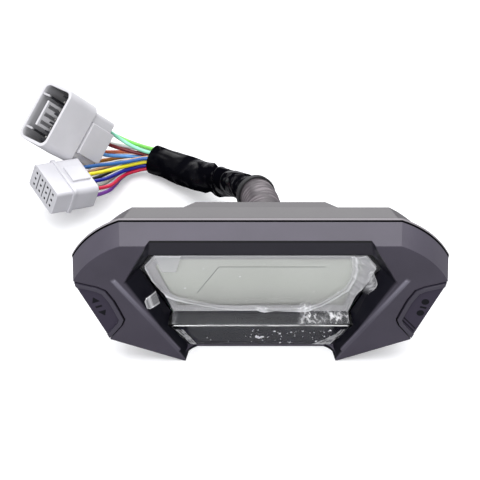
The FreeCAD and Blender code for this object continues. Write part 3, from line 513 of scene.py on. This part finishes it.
def sleeve_material():
    """Glossy black vinyl with fine creases."""
    kit = Nodes("black_vinyl")
    shader = kit.shader
    fold = kit.noise(55.0, 1.0, 0.4)
    kit.link(kit.colours(fold, (0.3, (0.0015, 0.0015, 0.0025)), (0.75, (0.003, 0.003, 0.0045))),
             shader.inputs["Base Color"])
    kit.link(kit.spread(fold, 0.14, 0.24), shader.inputs["Roughness"])
    patchy = kit.noise(75.0, 2.0, 0.8, stretch=(1.0, 1.0, 1.8))
    kit.link(kit.spread(patchy, 0.0, 0.17, 0.50, 0.74), shader.inputs["Specular IOR Level"])
    fine = kit.bump(kit.noise(500.0, 1.0), 0.04, 0.00005)
    kit.link(kit.bump(fold, 0.3, 0.0012, normal=fine), shader.inputs["Normal"])
    return kit.material


def boot_material():
    """Dusty grey rubber, lighter on its ridges."""
    kit = Nodes("grey_boot_rubber")
    shader = kit.shader
    ridge = kit.add("ShaderNodeAttribute", attribute_name="ridge").outputs["Fac"]
    patch = kit.noise(110.0, 4.0)
    total = kit.math("MULTIPLY_ADD", patch, 0.45, ridge)
    kit.link(kit.colours(total, (0.1, (0.045, 0.037, 0.042)), (1.0, (0.16, 0.138, 0.15))),
             shader.inputs["Base Color"])
    shader.inputs["Roughness"].default_value = 0.5
    kit.link(kit.bump(kit.noise(1300.0, 3.0), 0.35, 0.00008), shader.inputs["Normal"])
    return kit.material


def wire_material(name, colour):
    kit = Nodes("pvc_" + name)
    shader = kit.shader
    kit.link(kit.colours(kit.noise(260.0, 3.0), (0.3, shade(colour, 0.85)), (0.7, shade(colour, 1.12))),
             shader.inputs["Base Color"])
    shader.inputs["Roughness"].default_value = 0.32
    kit.link(kit.bump(kit.noise(1500.0, 2.0), 0.15, 0.00004), shader.inputs["Normal"])
    return kit.material


def floor_material():
    """Pale floor that the camera sees bright, and that throws little light back up."""
    kit = Nodes("pale_floor")
    tree = kit.tree
    paler = kit.colours(kit.noise(4.0), (0.3, (0.86, 0.86, 0.87)), (0.7, (0.88, 0.88, 0.89)))
    kit.link(paler, kit.shader.inputs["Base Color"])
    kit.shader.inputs["Roughness"].default_value = 0.9
    kit.shader.inputs["Specular IOR Level"].default_value = 0.1
    kit.shader.inputs["Emission Color"].default_value = (1.0, 1.0, 1.0, 1.0)
    kit.shader.inputs["Emission Strength"].default_value = 0.16
    dim = kit.add("ShaderNodeBsdfDiffuse", Color=(0.30, 0.30, 0.31, 1.0))
    seen = kit.add("ShaderNodeLightPath").outputs["Is Camera Ray"]
    mix = kit.add("ShaderNodeMixShader")
    kit.link(seen, mix.inputs["Fac"])
    kit.link(dim.outputs["BSDF"], mix.inputs[1])
    kit.link(kit.shader.outputs["BSDF"], mix.inputs[2])
    kit.link(mix.outputs["Shader"], tree.nodes["Material Output"].inputs["Surface"])
    return kit.material


# --- camera, floor and light ------------------------------------------------------
def aim(piece, target):
    piece.rotation_euler = (Vector(target) - piece.location).to_track_quat("-Z", "Y").to_euler()


camera = new_object("camera", bpy.data.cameras.new("camera"))
ELEVATION = math.radians(42.0)
CAMERA_DISTANCE = 0.650
TARGET = point(0.0, 0.0, 72.6) * MM
camera.location = TARGET + Vector((0.0, -math.cos(ELEVATION), math.sin(ELEVATION))) * CAMERA_DISTANCE
aim(camera, TARGET)
camera.data.lens = 117.0
camera.data.sensor_width = 36.0
camera.data.shift_x = -20.5 / 480
bpy.context.scene.camera = camera

floor_mesh = bpy.data.meshes.new("floor")
FLOOR_HALF = 4.0
FLOOR_DROP = 0.0002        # keeps the floor just clear of the pieces that stand on it
corners = [(x * FLOOR_HALF, y * FLOOR_HALF, 0) for (x, y) in ((-1, -1), (1, -1), (1, 1), (-1, 1))]
floor_mesh.from_pydata(corners, [], [(0, 1, 2, 3)])
floor_mesh.materials.append(floor_material())
floor = new_object("floor", floor_mesh)
floor.location.z = -FLOOR_DROP
floor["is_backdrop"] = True


def soft_light(name, place, size, radiance, target=(0.0, 0.0, 0.03)):
    """A rectangular soft box; radiance is per area, so its size does not change its brightness."""
    light = bpy.data.lights.new(name, "AREA")
    light.shape = "RECTANGLE"
    light.size, light.size_y = size
    light.energy = radiance * math.pi * size[0] * size[1]
    lamp = new_object(name, light)
    lamp.location = place
    aim(lamp, target)


soft_light("back_softbox", (0.0, 1.6, 1.15), (2.6, 1.3), 3.0)
soft_light("top_softbox", (0.0, -0.1, 1.3), (1.4, 1.2), 2.7)
soft_light("front_softbox", (-0.25, -1.25, 0.95), (1.1, 0.8), 4.2)

world = bpy.data.worlds.new("studio")
world.use_nodes = True
world.node_tree.nodes["Background"].inputs["Color"].default_value = (0.95, 0.96, 1.0, 1.0)
world.node_tree.nodes["Background"].inputs["Strength"].default_value = 0.6
bpy.context.scene.world = world
bpy.context.scene.view_settings.view_transform = "Standard"


# --- cords ------------------------------------------------------------------------
def route_curve(name, points, radius=0.0):
    """One open NURBS spline with the route's points, in millimetres, as control points."""
    curve = bpy.data.curves.new(name, "CURVE")
    curve.dimensions = "3D"
    curve.resolution_u = 16
    spline = curve.splines.new("NURBS")
    spline.points.add(len(points) - 1)
    for control, place in zip(spline.points, points):
        control.co = (*(place * MM), 1.0)
    spline.order_u = 3
    spline.use_endpoint_u = True
    curve.bevel_depth = radius * MM
    curve.bevel_resolution = 5
    curve.use_fill_caps = radius > 0
    return new_object(name, curve)


def centre_line(name, points):
    """Points in millimetres along the route's smooth line."""
    guide = route_curve(name + "_guide", points)
    bpy.context.view_layer.update()
    mesh = bpy.data.meshes.new_from_object(guide)
    line = [vertex.co / MM for vertex in mesh.vertices]
    bpy.data.objects.remove(guide)
    bpy.data.meshes.remove(mesh)
    return line


def even_steps(line, count):
    """The line's points at even spacing, and its length."""
    lengths = [0.0]
    for a, b in zip(line, line[1:]):
        lengths.append(lengths[-1] + (b - a).length)
    result = []
    index = 0
    for step in range(count + 1):
        goal = lengths[-1] * step / count
        while index < len(line) - 2 and lengths[index + 1] < goal:
            index += 1
        run = max(lengths[index + 1] - lengths[index], 1e-9)
        result.append(line[index].lerp(line[index + 1], (goal - lengths[index]) / run))
    return result, lengths[-1]


def ring_frames(line):
    """(centre, side, up) at each point of a line, with the side vector carried along."""
    frames = []
    side = None
    for index, centre in enumerate(line):
        ahead = line[min(index + 1, len(line) - 1)] - line[max(index - 1, 0)]
        along = ahead.normalized()
        if side is None:
            side = along.cross(Vector((0, 0, 1))).normalized()
        side = (side - along * side.dot(along)).normalized()
        frames.append((centre, side, side.cross(along) * -1))
    return frames


def tube_mesh(frames, radius_at, around):
    """Rings of points; radius_at(ring, angle) gives millimetres."""
    points, faces = [], []
    for ring, (centre, side, up) in enumerate(frames):
        for step in range(around):
            angle = 2 * math.pi * step / around
            reach = radius_at(ring, angle)
            points.append(centre + side * (math.cos(angle) * reach) + up * (math.sin(angle) * reach))
    for ring in range(len(frames) - 1):
        for step in range(around):
            a = ring * around + step
            b = ring * around + (step + 1) % around
            faces.append((a, b, b + around, a + around))
    return points, faces


def ridged(place, octaves=3):
    """Sharp-crested noise from 0 to 1."""
    total, weight, scale = 0.0, 0.5, 1.0
    for _ in range(octaves):
        total += weight * (1 - abs(noise.noise(place * scale)))
        weight *= 0.5
        scale *= 2.1
    return total


def vinyl_sleeve():
    """Limp vinyl tube: flattened, twisted at a diagonal crease, crumpled where it meets the boot."""
    rings, around = 220, 96
    line, length = even_steps(centre_line("sleeve", SLEEVE_ROUTE), rings)
    frames = ring_frames(line)

    def radius_at(ring, angle):
        share = ring / rings
        from_boot = share * length
        twist = 0.5 + 1.9 * ramp(share, 0.30, 0.66)
        flat = 1.0 + 0.13 * math.cos(2 * (angle - twist)) * (1 - ramp(share, 0.80, 0.95))
        nip = 1.0 - 0.17 * math.exp(-((share - 0.52 - 0.07 * math.cos(angle - 0.6)) / 0.035) ** 2)
        where = Vector((math.cos(angle) * 0.9, math.sin(angle) * 0.9, from_boot / 15.0))
        collar = Vector((math.cos(angle) * 1.6, math.sin(angle) * 1.6, from_boot / 4.2))
        crumple = 0.55 + 0.5 * math.exp(-((share - 0.52) / 0.12) ** 2)
        crumple *= 1.0 - 0.75 * ramp(share, 0.78, 0.93)
        wave = (ridged(where, 2) - 0.55) * crumple * 2.4
        wave += (ridged(collar, 3) - 0.62) * 3.0 * math.exp(-from_boot / 11.0)
        slant = math.sin(2 * angle + from_boot / 9.0) * 0.14
        mouth = 0.30 * ramp(share, 0.88, 1.0)
        return min(SLEEVE_D / 2 * flat * nip + wave + slant + mouth, SLEEVE_REACH)

    outer, faces = tube_mesh(frames, radius_at, around)
    depth = int(rings * 12.0 / length)
    inner_frames = frames[-1:] + frames[-2:-depth:-1]
    inner, inner_faces = tube_mesh(
        inner_frames, lambda ring, angle: radius_at(rings - ring, angle) - SLEEVE_WALL, around)
    shift = len(outer)
    points = outer + inner
    faces += [tuple(i + shift for i in face) for face in inner_faces]
    rim = rings * around
    for step in range(around):
        after = (step + 1) % around
        faces.append((rim + step, rim + after, shift + after, shift + step))
    faces.append(tuple(range(shift + (len(inner_frames) - 1) * around, shift + len(inner_frames) * around)))
    faces.append(tuple(reversed(range(around))))
    sleeve = mesh_piece("vinyl_sleeve", points, faces, sleeve_material())
    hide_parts("harness_sleeve")
    [p * MM for p in line]


def mouth_cell(cell):
    """Centre of a wire in the sleeve's mouth; columns run to the front, rows run up."""
    along = (SLEEVE_ROUTE[-1] - SLEEVE_ROUTE[-2]).normalized()
    front = Vector((along.y, -along.x, 0)).normalized() * -1
    up = front.cross(along) * -1
    column, row = cell
    across = (abs(column) - 0.5) * COLUMN_PITCH * (1 if column > 0 else -1)
    height = row * ROW_STEP + (STAGGER if abs(column) == 2 else -STAGGER)
    return SLEEVE_ROUTE[-1] + front * across + up * height


def wire_route(start, end, leave, entry, slack):
    chord = (end - start).length
    loose = Vector(slack)
    points = [start, start + leave * (chord * LEAVE_REACH) + loose,
              end + entry * (chord * ENTRY_REACH) + loose, end]
    while len(points) < WIRE_POINTS:
        points = spread(points)
    return points


def spread(points):
    """The same bend drawn with one more point, each corner turning less."""
    count = len(points)
    inner = [points[i - 1] * (i / count) + points[i] * (1 - i / count) for i in range(1, count)]
    return [points[0]] + inner + [points[-1]]


def add_wire(name, cell, end, leave, entry, slack, length, colour, connector):
    """A wire from inside the sleeve to its place in the connector's rear face."""
    start = mouth_cell(cell)
    along = (SLEEVE_ROUTE[-1] - SLEEVE_ROUTE[-2]).normalized()
    route = [start - along * WIRE_INSIDE] + wire_route(start, end, leave, entry, slack)
    wire = route_curve(f"wire_{name}_insulation", route, WIRE_D / 2)
    wire.data.materials.append(wire_material(name, colour))
    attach(wire, HOUSING)
    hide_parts("wire_" + name)


# --- boot -------------------------------------------------------------------------
def rubber_boot():
    """Wrinkled rubber boot with a stepped flange on the housing."""
    rings, around = 150, 72
    line, length = even_steps(centre_line("boot", BOOT_ROUTE), rings)
    frames = ring_frames(line)
    ridge_values = []

    def radius_at(ring, angle):
        place = ring / rings * length
        if place < 2.0:
            reach = 11.4
        elif place < 9.0:
            reach = 11.4 - 3.2 * ramp(place, 1.8, 8.0)
        else:
            reach = BOOT_R
        around_place = (math.cos(angle) * 1.2, math.sin(angle) * 1.2)
        wobble = noise.noise(Vector((*around_place, place / 4.0)))
        uneven = ramp(noise.noise(Vector((*around_place, place / 5.0 + 9.0))), -0.25, 0.35)
        phase = place / 2.7 * 2 * math.pi + wobble * 3.2 + 0.9 * math.sin(angle + 0.7)
        crest = (0.5 + 0.5 * math.sin(phase)) ** 0.6
        strength = (0.18 + 0.34 * uneven) * ramp(place, 7.0, 12.0)
        ridge_values.append(crest * uneven * ramp(place, 7.0, 12.0))
        return reach - strength + strength * crest + 0.2 * wobble

    points, faces = tube_mesh(frames, radius_at, around)
    faces.append(tuple(reversed(range(around))))
    faces.append(tuple(range(rings * around, (rings + 1) * around)))
    boot = mesh_piece("rubber_boot", points, faces, boot_material())
    set_point_values(boot, "ridge", ridge_values)
    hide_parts("cable_boot")


rubber_boot()

vinyl_sleeve()

# connector, wires, place, turn, direction from the sleeve, row pitch, level and its upper column
CONNECTORS = [
    ("plug_housing", PLUG_WIRES, PLUG_AT, PLUG_TURN, PLUG_LEAVE, PLUG_ROW, PLUG_COLUMN, -1),
    ("socket_housing", SOCKET_WIRES, SOCKET_AT, SOCKET_TURN, SOCKET_LEAVE, SOCKET_PITCH, SOCKET_LEVEL, 2),
]
for (connector, wires, centre, turn, leave, pitch, level, upper) in CONNECTORS:
    for (name, (column, row), slack, length, colour) in wires:
        height = level if column == upper else -level
        end = centre + turn @ Vector((0.0, row * pitch, height))
        add_wire(name, (column, row), end, leave, turn @ ACROSS, slack, length, colour, connector)


# --- protective film --------------------------------------------------------------
def lens_depth(z):
    share = (z - LENS_FOOT[1]) / (LENS_TOP[1] - LENS_FOOT[1])
    return LENS_FOOT[0] + share * (LENS_TOP[0] - LENS_FOOT[0])


# the line where the film stops sticking to the lens (x, z), from the left edge to the right
STUCK_EDGE = [(-50.0, 56.0), (-49.3, 50.5), (-47.8, 44.2), (-44.0, 35.0), (-36.3, 29.7), (-26.7, 26.0),
              (-18.0, 23.4), (-9.0, 22.3), (-2.4, 23.0), (0.7, 22.3), (6.5, 20.8), (13.1, 21.3),
              (19.8, 22.0), (26.3, 25.2), (31.9, 30.4), (36.9, 36.3), (39.2, 42.8), (39.8, 49.1),
              (38.9, 59.0)]
# half widths of the lens (z, x) and of the film a little inside it
LENS_EDGE = [(17.0, 38.6), (31.0, 42.2), (42.0, 47.6), (51.0, 50.2), (55.0, 47.6), (59.5, 45.0)]


def along_table(table, value):
    """Straight-line reading between a table's rows."""
    for (a, low), (b, high) in zip(table, table[1:]):
        if value <= b:
            return low + (high - low) * (value - a) / (b - a)
    return table[-1][1]


def edge_distance(x, z):
    """Signed distance from the stuck edge; positive on the lifted side, outside the edge."""
    best = 1e9
    sign = 1.0
    for (ax, az), (bx, bz) in zip(STUCK_EDGE, STUCK_EDGE[1:]):
        dx, dz = bx - ax, bz - az
        t = min(max(((x - ax) * dx + (z - az) * dz) / (dx * dx + dz * dz), 0.0), 1.0)
        gap = math.hypot(x - ax - t * dx, z - az - t * dz)
        if gap < best:
            best = gap
            sign = 1.0 if (x - ax) * dz - (z - az) * dx > 0 else -1.0
    return best * sign


def star_fold(x):
    """Where the lifted edge gathers into small crumples."""
    return math.exp(-((x - 0.7) / 2.4) ** 2) + math.exp(-((x - 19.8) / 3.0) ** 2)


def grid_faces(columns, rows):
    """Faces of a grid of points that are listed row by row."""
    faces = []
    for row in range(rows):
        for column in range(columns):
            a = row * (columns + 1) + column
            faces.append((a, a + 1, a + columns + 2, a + columns + 1))
    return faces


FILM_LOW, FILM_HIGH = 19.6, 58.9


def film_sheet():
    columns, rows = 260, 110
    points, milk_and_glare = [], []
    for row in range(rows + 1):
        z = FILM_LOW + (FILM_HIGH - FILM_LOW) * row / rows
        half = along_table(LENS_EDGE, z) - 0.5
        for column in range(columns + 1):
            x = -half + 2 * half * column / columns
            gap = edge_distance(x, z)
            lifted = ramp(gap, -0.3, 1.6)
            crease = ridged(Vector(((x + 0.7 * z) / 6.0, (z - 0.7 * x) / 16.0, 3.0)), 2)
            soft = 0.5 + 0.5 * noise.noise(Vector((x / 5.0, z / 5.0, 8.0)))
            broad = 0.55 + 0.8 * ramp(-x, 28.0, 46.0) + 0.6 * star_fold(x)
            first = math.exp(-(gap / 0.5) ** 2)
            second = math.exp(-((gap - 1.6 * (0.7 + broad * 0.5) - 0.5 * soft) / 0.5) ** 2)
            between = ramp(gap, 0.0, 0.4) * ramp(1.6 * (0.7 + broad * 0.5) + 0.4 - gap, 0.0, 0.6)
            corner = ramp(x, 36.0, 41.0) * lifted
            height = 0.14 + 0.55 * lifted * soft + 0.5 * first + 0.45 * second
            height += corner * (crease - 0.5) * 2.6
            cloud_and_glare = 0.015 + 0.10 * lifted * (0.5 + 0.6 * soft) + 0.50 * first + 0.45 * second
            cloud_and_glare += (0.16 + 0.42 * ramp(-x, 28.0, 44.0) + 0.30 * star_fold(x)) * between
            for (knot_x, knot_z, size) in ((19.8, 22.6, 2.9), (0.7, 21.6, 2.1)):
                inside = math.exp(-((x - knot_x) ** 2 + (z - knot_z) ** 2) / size ** 2)
                knot = ridged(Vector((x / 2.2, z / 2.2, 6.0)), 2)
                height += 1.3 * inside * knot
                cloud_and_glare += inside * (0.22 + 0.9 * ramp(knot, 0.45, 0.68))
            folds = ramp(crease, 0.60, 0.90)
            cloud_and_glare += corner * (0.34 + 0.50 * folds)
            # painted highlight: a glint along the film's top edge
            cloud_and_glare += 0.5 * ramp(z, 58.0, 58.6)
            # painted reflection: a glare patch on the film at the upper left of the window
            patch = ramp(9.5 - abs(x + 39.5) * 1.6 - (58.0 - z) * 0.38, 0.0, 1.2) * ramp(z, 47.2, 48.2)
            cloud_and_glare += 0.50 * patch
            edge = ramp(half - abs(x), 0.0, 1.2)
            cloud_and_glare += 0.25 * (1 - edge)
            points.append(point(x, lens_depth(z) - height, z))
            milk_and_glare.append(min(cloud_and_glare, 0.95))
    film = mesh_piece("lifted_film", points, grid_faces(columns, rows), FILM)
    set_point_values(film, "milk_and_glare", milk_and_glare)
    return film


def film_strip(name, rows, columns, place, milk_at):
    """A small separate stretch of film; place(u, v) and milk_at(u, v) take shares from 0 to 1."""
    shares = [(c / columns, r / rows) for r in range(rows + 1) for c in range(columns + 1)]
    points = [place(u, v) for (u, v) in shares]
    piece = mesh_piece(name, points, grid_faces(columns, rows), FILM)
    set_point_values(piece, "milk_and_glare", [milk_at(u, v) for (u, v) in shares])


SHELF_HALF = 39.0


def shelf_place(u, v):
    """On the shelf under the main window, from its back edge to its lip."""
    x = SHELF_HALF * (2 * u - 1)
    depth = LENS_FOOT[0] + (SHELF_LIP[0] - LENS_FOOT[0]) * (0.04 + 0.92 * v)
    z = LENS_FOOT[1] + (SHELF_LIP[1] - LENS_FOOT[1]) * v
    wrinkle = ridged(Vector((x / 3.0, v * 1.5, 1.0)))
    busy = ramp(x, 14.0, 22.0)
    return point(x, depth, z + 0.12 + (0.15 + 0.55 * busy) * wrinkle)


# milky film on the shelf's wrinkles, with painted glints on their crests and at the left end
def shelf_milk_and_glints(u, v):
    x = SHELF_HALF * (2 * u - 1)
    uneven = 0.35 + 0.65 * ramp(noise.noise(Vector((x / 3.2, v, 5.0))), -0.1, 0.35)
    busy = (ramp(x, 16.0, 20.0) + 0.6 * ramp(-x, 36.5, 38.0)) * uneven
    glint = ramp(ridged(Vector((x / 2.4, v * 2.2, 1.0))), 0.66, 0.80)
    return min(0.02 + busy * (0.12 + 0.85 * glint), 0.97)


def corner_place(side):
    """A milky scrap of film in a lower corner of the indicator panel."""
    def place(u, v):
        z = 14.4 - 12.4 * v
        edge = 37.8 - 6.6 * v
        width = 3.4 - 0.8 * v if side < 0 else 2.0 + 6.5 * v * v
        x = side * (edge - width * (1 - u))
        share = (z - SHELF_LIP[1]) / (PANEL_FOOT[1] - SHELF_LIP[1])
        depth = SHELF_LIP[0] + share * (PANEL_FOOT[0] - SHELF_LIP[0])
        lift = 0.15 + 0.5 * ridged(Vector((x / 2.0, z / 2.0, 2.0 * side)))
        return point(x, depth - lift, z)
    return place


def corner_milk(u, v):
    return 0.25 + 0.45 * ramp(ridged(Vector((u * 3.0, v * 4.0, 0.5))), 0.5, 0.8)


def tab_place(u, v):
    """The pull tab, folded out over the left wall of the opening."""
    root = point(-43.8, 4.0, 32.0).lerp(point(-45.4, 5.0, 38.4), v)
    tip = point(-49.0, -0.2, 31.6).lerp(point(-50.4, 0.8, 37.6), v)
    bulge = Vector((0.1, -0.7, 0.5)) * math.sin(math.pi * u)
    corner = 0.9 * ramp(abs(v - 0.5), 0.3, 0.5) * u
    return root.lerp(tip, u * (1 - 0.2 * corner)) + bulge + Vector((0, 0, -0.5 * u * v))


def tab_milk(u, v):
    rolled = 0.35 * math.exp(-((u - 0.62) / 0.12) ** 2)
    return 0.26 + 0.45 * ramp(abs(v - 0.5), 0.36, 0.5) + 0.3 * ramp(u, 0.82, 1.0) + rolled


def fold_place(u, v):
    """Loose edge of the film that stands out over the right wall of the opening."""
    root = point(43.8, 5.3, 37.5).lerp(point(46.4, 3.6, 54.0), v)
    tip = point(46.6, 4.4, 36.5).lerp(point(49.0, 2.8, 54.5), v)
    tip += Vector((2.6, -0.9, 0.0)) * math.sin(math.pi * min(v * 1.25, 1.0)) ** 1.5
    wave = noise.noise(Vector((u * 1.5 + v * 2.0, v * 3.5 - u, 7.0)))
    return root.lerp(tip, u) + Vector((0.0, -0.8, 0.5)) * (wave * 0.5 + 0.3) * (0.2 + 0.5 * u)


def fold_milk(u, v):
    streak = ramp(noise.noise(Vector((u * 2.0 + v * 3.0, v * 7.0 - u * 3.0, 3.0))), -0.2, 0.5)
    ends = ramp(v, 0.0, 0.25) * ramp(1 - v, 0.0, 0.2)
    return (0.28 + 0.42 * streak + 0.25 * ramp(u, 0.9, 1.0)) * ends * ramp(u, 0.0, 0.35)


FILM = film_material()
film = film_sheet()
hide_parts("protective_film")
film_strip("shelf_film", 10, 240, shelf_place, shelf_milk_and_glints)
film_strip("corner_film_left", 24, 12, corner_place(-1), corner_milk)
film_strip("corner_film_right", 24, 16, corner_place(1), corner_milk)
film_strip("pull_tab", 12, 24, tab_place, tab_milk)
film_strip("fold_right", 30, 24, fold_place, fold_milk)


# --- display details ---------------------------------------------------------------
def display_point(x, z, near):
    return point(x, lens_depth(z) + near, z)


def flat_shape(name, corners, near, far, material):
    """A thin plate behind the lens with the given (x, z) corners."""
    count = len(corners)
    points = [display_point(x, z, near) for (x, z) in corners]
    points += [display_point(x, z, far) for (x, z) in corners]
    faces = [tuple(range(count)), tuple(reversed(range(count, 2 * count)))]
    faces += [(i, i + count, (i + 1) % count + count, (i + 1) % count) for i in range(count)]
    return mesh_piece(name, points, faces, material, smooth=False)


def stroke(start, end, width):
    """Corners of a straight line of some width."""
    (ax, az), (bx, bz) = start, end
    size = math.hypot(bx - ax, bz - az)
    nx, nz = -(bz - az) / size * width / 2, (bx - ax) / size * width / 2
    return [(ax + nx, az + nz), (bx + nx, bz + nz), (bx - nx, bz - nz), (ax - nx, az - nz)]


def display_half(z):
    """Half width of the display window in the black mask."""
    if z < 50.6:
        return 37.0 + (z - 20.6) / 30.0 * 9.2
    return 46.2 - (z - 50.6) / 7.4 * 4.7


def border_point(x, z):
    """Half way between the back of the lens and the black mask."""
    return point(x, 6.9 + (LENS_TOP[1] - z) / 6.0, z)


def border_sheet():
    """Pale reflecting sheet round the display window, out to the edges of the lens."""
    border = moulded("display_border_sheet", (0.50, 0.485, 0.50), 0.35, bump=0.05, contrast=0.06)
    low, first, last, high = 17.8, 23.0, 55.6, 58.9
    steps = 40
    levels = [first + (last - first) * step / steps for step in range(steps + 1)]
    points, faces = [], []
    for z in levels:
        outer = along_table(LENS_EDGE, z) - 0.25
        inner = display_half(z) - 0.9
        points += [border_point(x, z) for x in (-outer, -inner, inner, outer)]
    for step in range(steps):
        a, b = 4 * step, 4 * step + 4
        faces += [(a, a + 1, b + 1, b), (a + 2, a + 3, b + 3, b + 2)]
    for near, far in ((low, first), (last, high)):
        start = len(points)
        for z in (near, far):
            half = along_table(LENS_EDGE, z) - 0.25
            points += [border_point(-half, z), border_point(half, z)]
        faces.append((start, start + 1, start + 3, start + 2))
    mesh_piece("display_border", points, faces, border, smooth=False)


border_sheet()
segment_line = moulded("display_line", (0.30, 0.31, 0.29), 0.3, bump=0.05)
flat_shape("display_line_top", stroke((-18.0, 49.4), (28.0, 49.4), 0.35), 2.62, 2.65, segment_line)
flat_shape("display_line_side", stroke((-28.0, 30.5), (-18.0, 49.4), 0.35), 2.62, 2.65, segment_line)


def panel_point(x, z, near):
    share = (z - SHELF_LIP[1]) / (PANEL_FOOT[1] - SHELF_LIP[1])
    return point(x, SHELF_LIP[0] + share * (PANEL_FOOT[0] - SHELF_LIP[0]) + near, z)


tint_corners = [(-30.4, 2.4), (30.4, 2.4), (37.4, 15.4), (-37.4, 15.4)]
tint_points = [panel_point(x, z, near) for near in (1.84, 1.95) for (x, z) in tint_corners]
tint_faces = [(0, 1, 2, 3), (7, 6, 5, 4), (0, 4, 5, 1), (1, 5, 6, 2), (2, 6, 7, 3), (3, 7, 4, 0)]
mesh_piece("indicator_tint", tint_points, tint_faces, panel_tint, smooth=False)


def speck_points(rng, x, z, size, place):
    """An irregular flat speck of dust on a surface."""
    count = 9
    stretch = rng.uniform(1.0, 1.8)
    lean = rng.uniform(0, math.pi)
    outline = []
    for step in range(count):
        angle = 2 * math.pi * step / count
        reach = size * rng.uniform(0.6, 1.15)
        a, b = math.cos(angle) * reach * stretch, math.sin(angle) * reach
        outline.append(place(x + a * math.cos(lean) - b * math.sin(lean),
                             z + a * math.sin(lean) + b * math.cos(lean)))
    return outline


def dust():
    """Specks on the indicator panel, thicker towards the right, and a few on the window."""
    rng = random.Random(11)
    outlines = []

    def on_panel(x, z):
        return panel_point(x, z, -0.12)

    def on_window(x, z):
        return display_point(x, z, -0.75)

    for (x, z, size) in ((-1.6, 7.8, 1.0), (-0.4, 7.2, 1.0), (0.8, 7.9, 0.8), (6.5, 12.4, 0.45),
                         (8.6, 10.4, 0.5), (13.6, 11.7, 0.4), (18.9, 12.5, 0.45), (31.0, 13.0, 0.6),
                         (28.6, 8.2, 0.5), (8.8, 2.9, 0.4), (13.0, 2.8, 0.35), (25.0, 4.0, 0.5)):
        outlines.append(speck_points(rng, x, z, size, on_panel))
    for _ in range(46):
        x = -28.0 + 62.0 * rng.random() ** 0.6
        outlines.append(speck_points(rng, min(x, 31.0), rng.uniform(3.2, 13.6), rng.uniform(0.10, 0.26),
                                     on_panel))
    for (x, z) in ((-32.9, 37.0), (-8.9, 45.2), (23.4, 34.3), (33.9, 34.1), (-24.5, 50.8)):
        outlines.append(speck_points(rng, x, z, 0.3, on_window))
    points, faces = [], []
    for outline in outlines:
        faces.append(tuple(range(len(points), len(points) + len(outline))))
        points += outline
    dust_colour = moulded("pale_dust", (0.88, 0.87, 0.93), 0.7, edge=0.0)
    mesh_piece("dust_specks", points, faces, dust_colour, smooth=False)


dust()


# --- button marks -------------------------------------------------------------------
def button_mark(name, outlines, body):
    """Filled marks on a button's recessed panel; outlines are (x, z) loops."""
    front = PANEL_DEPTH - 0.06
    points, faces = [], []
    for loop in outlines:
        count = len(loop)
        start = len(points)
        points += [point(x, depth, z) for depth in (front, PANEL_DEPTH + 0.02) for (x, z) in loop]
        faces.append(tuple(range(start, start + count)))
        for i in range(count):
            j = (i + 1) % count
            faces.append((start + i, start + i + count, start + j + count, start + j))
    mesh_piece(name, points, faces, mark_paint, smooth=False, body=body)


def triangle(x, z, size, turn):
    return [(x + size * math.cos(turn + k * 2 * math.pi / 3), z + size * math.sin(turn + k * 2 * math.pi / 3))
            for k in range(3)]


def disc(x, z, radius, count=20):
    return [(x + radius * math.cos(2 * math.pi * k / count), z + radius * math.sin(2 * math.pi * k / count))
            for k in range(count)]


button_mark("mark_left", [triangle(-71.5, 37.0, 2.1, math.radians(112)),
                          stroke((-71.5, 32.9), (-68.7, 34.0), 1.0),
                          triangle(-68.5, 29.9, 2.1, math.radians(292))], "button_left")
button_mark("mark_right", [disc(71.3, 36.2, 1.7), stroke((69.2, 33.3), (72.0, 32.4), 1.0),
                           disc(69.6, 29.5, 1.7), stroke((62.4, 27.0), (68.0, 19.9), 0.55),
                           stroke((61.7, 25.6), (67.3, 18.5), 0.45)], "button_right")


# --- finishes of the carried-over nodes -----------------------------------------------
FINISHES = {
    "front_cover": front_shell, "rear_case": rear_shell, "housing_seal": black_rubber,
    "lens": lens_material(), "display_mask": black_frame, "lcd_panel": display_material(),
    "light_guide": white_guide, "zebra_strips": silicone, "indicator_mask": black_frame,
    "indicator_light_box": white_guide, "circuit_board": board_material(), "backlight_leds": diode,
    "indicator_leds": diode, "controller_chip": chip_plastic, "driver_chips": chip_plastic,
    "capacitors": tin, "harness_header": header_nylon, "switch_bodies": chip_plastic,
    "case_screws": steel, "board_screws": steel, "mount_inserts": brass, "mount_dampers": black_rubber,
    "vent_plug": black_rubber, "button_right": button_plastic, "button_left": button_plastic,
    "button_seal_right": black_rubber, "button_seal_left": black_rubber,
    "switch_plunger_right": black_frame, "switch_plunger_left": black_frame, "boot_tie": black_rubber,
    "plug_housing": plug_nylon, "plug_pins": tin, "plug_retainer": plug_insert,
    "plug_wire_seal": silicone, "socket_housing": grey_connector, "socket_face": white_insert,
    "socket_terminals": terminal_shade_metal, "socket_wire_seal": silicone,
}
for node_name, finish in FINISHES.items():
    node = NODES[node_name]
    for slot in node.material_slots:
        slot.material = finish

both = (CAD_BOX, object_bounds())
[[list(corner) for corner in box] for box in both]
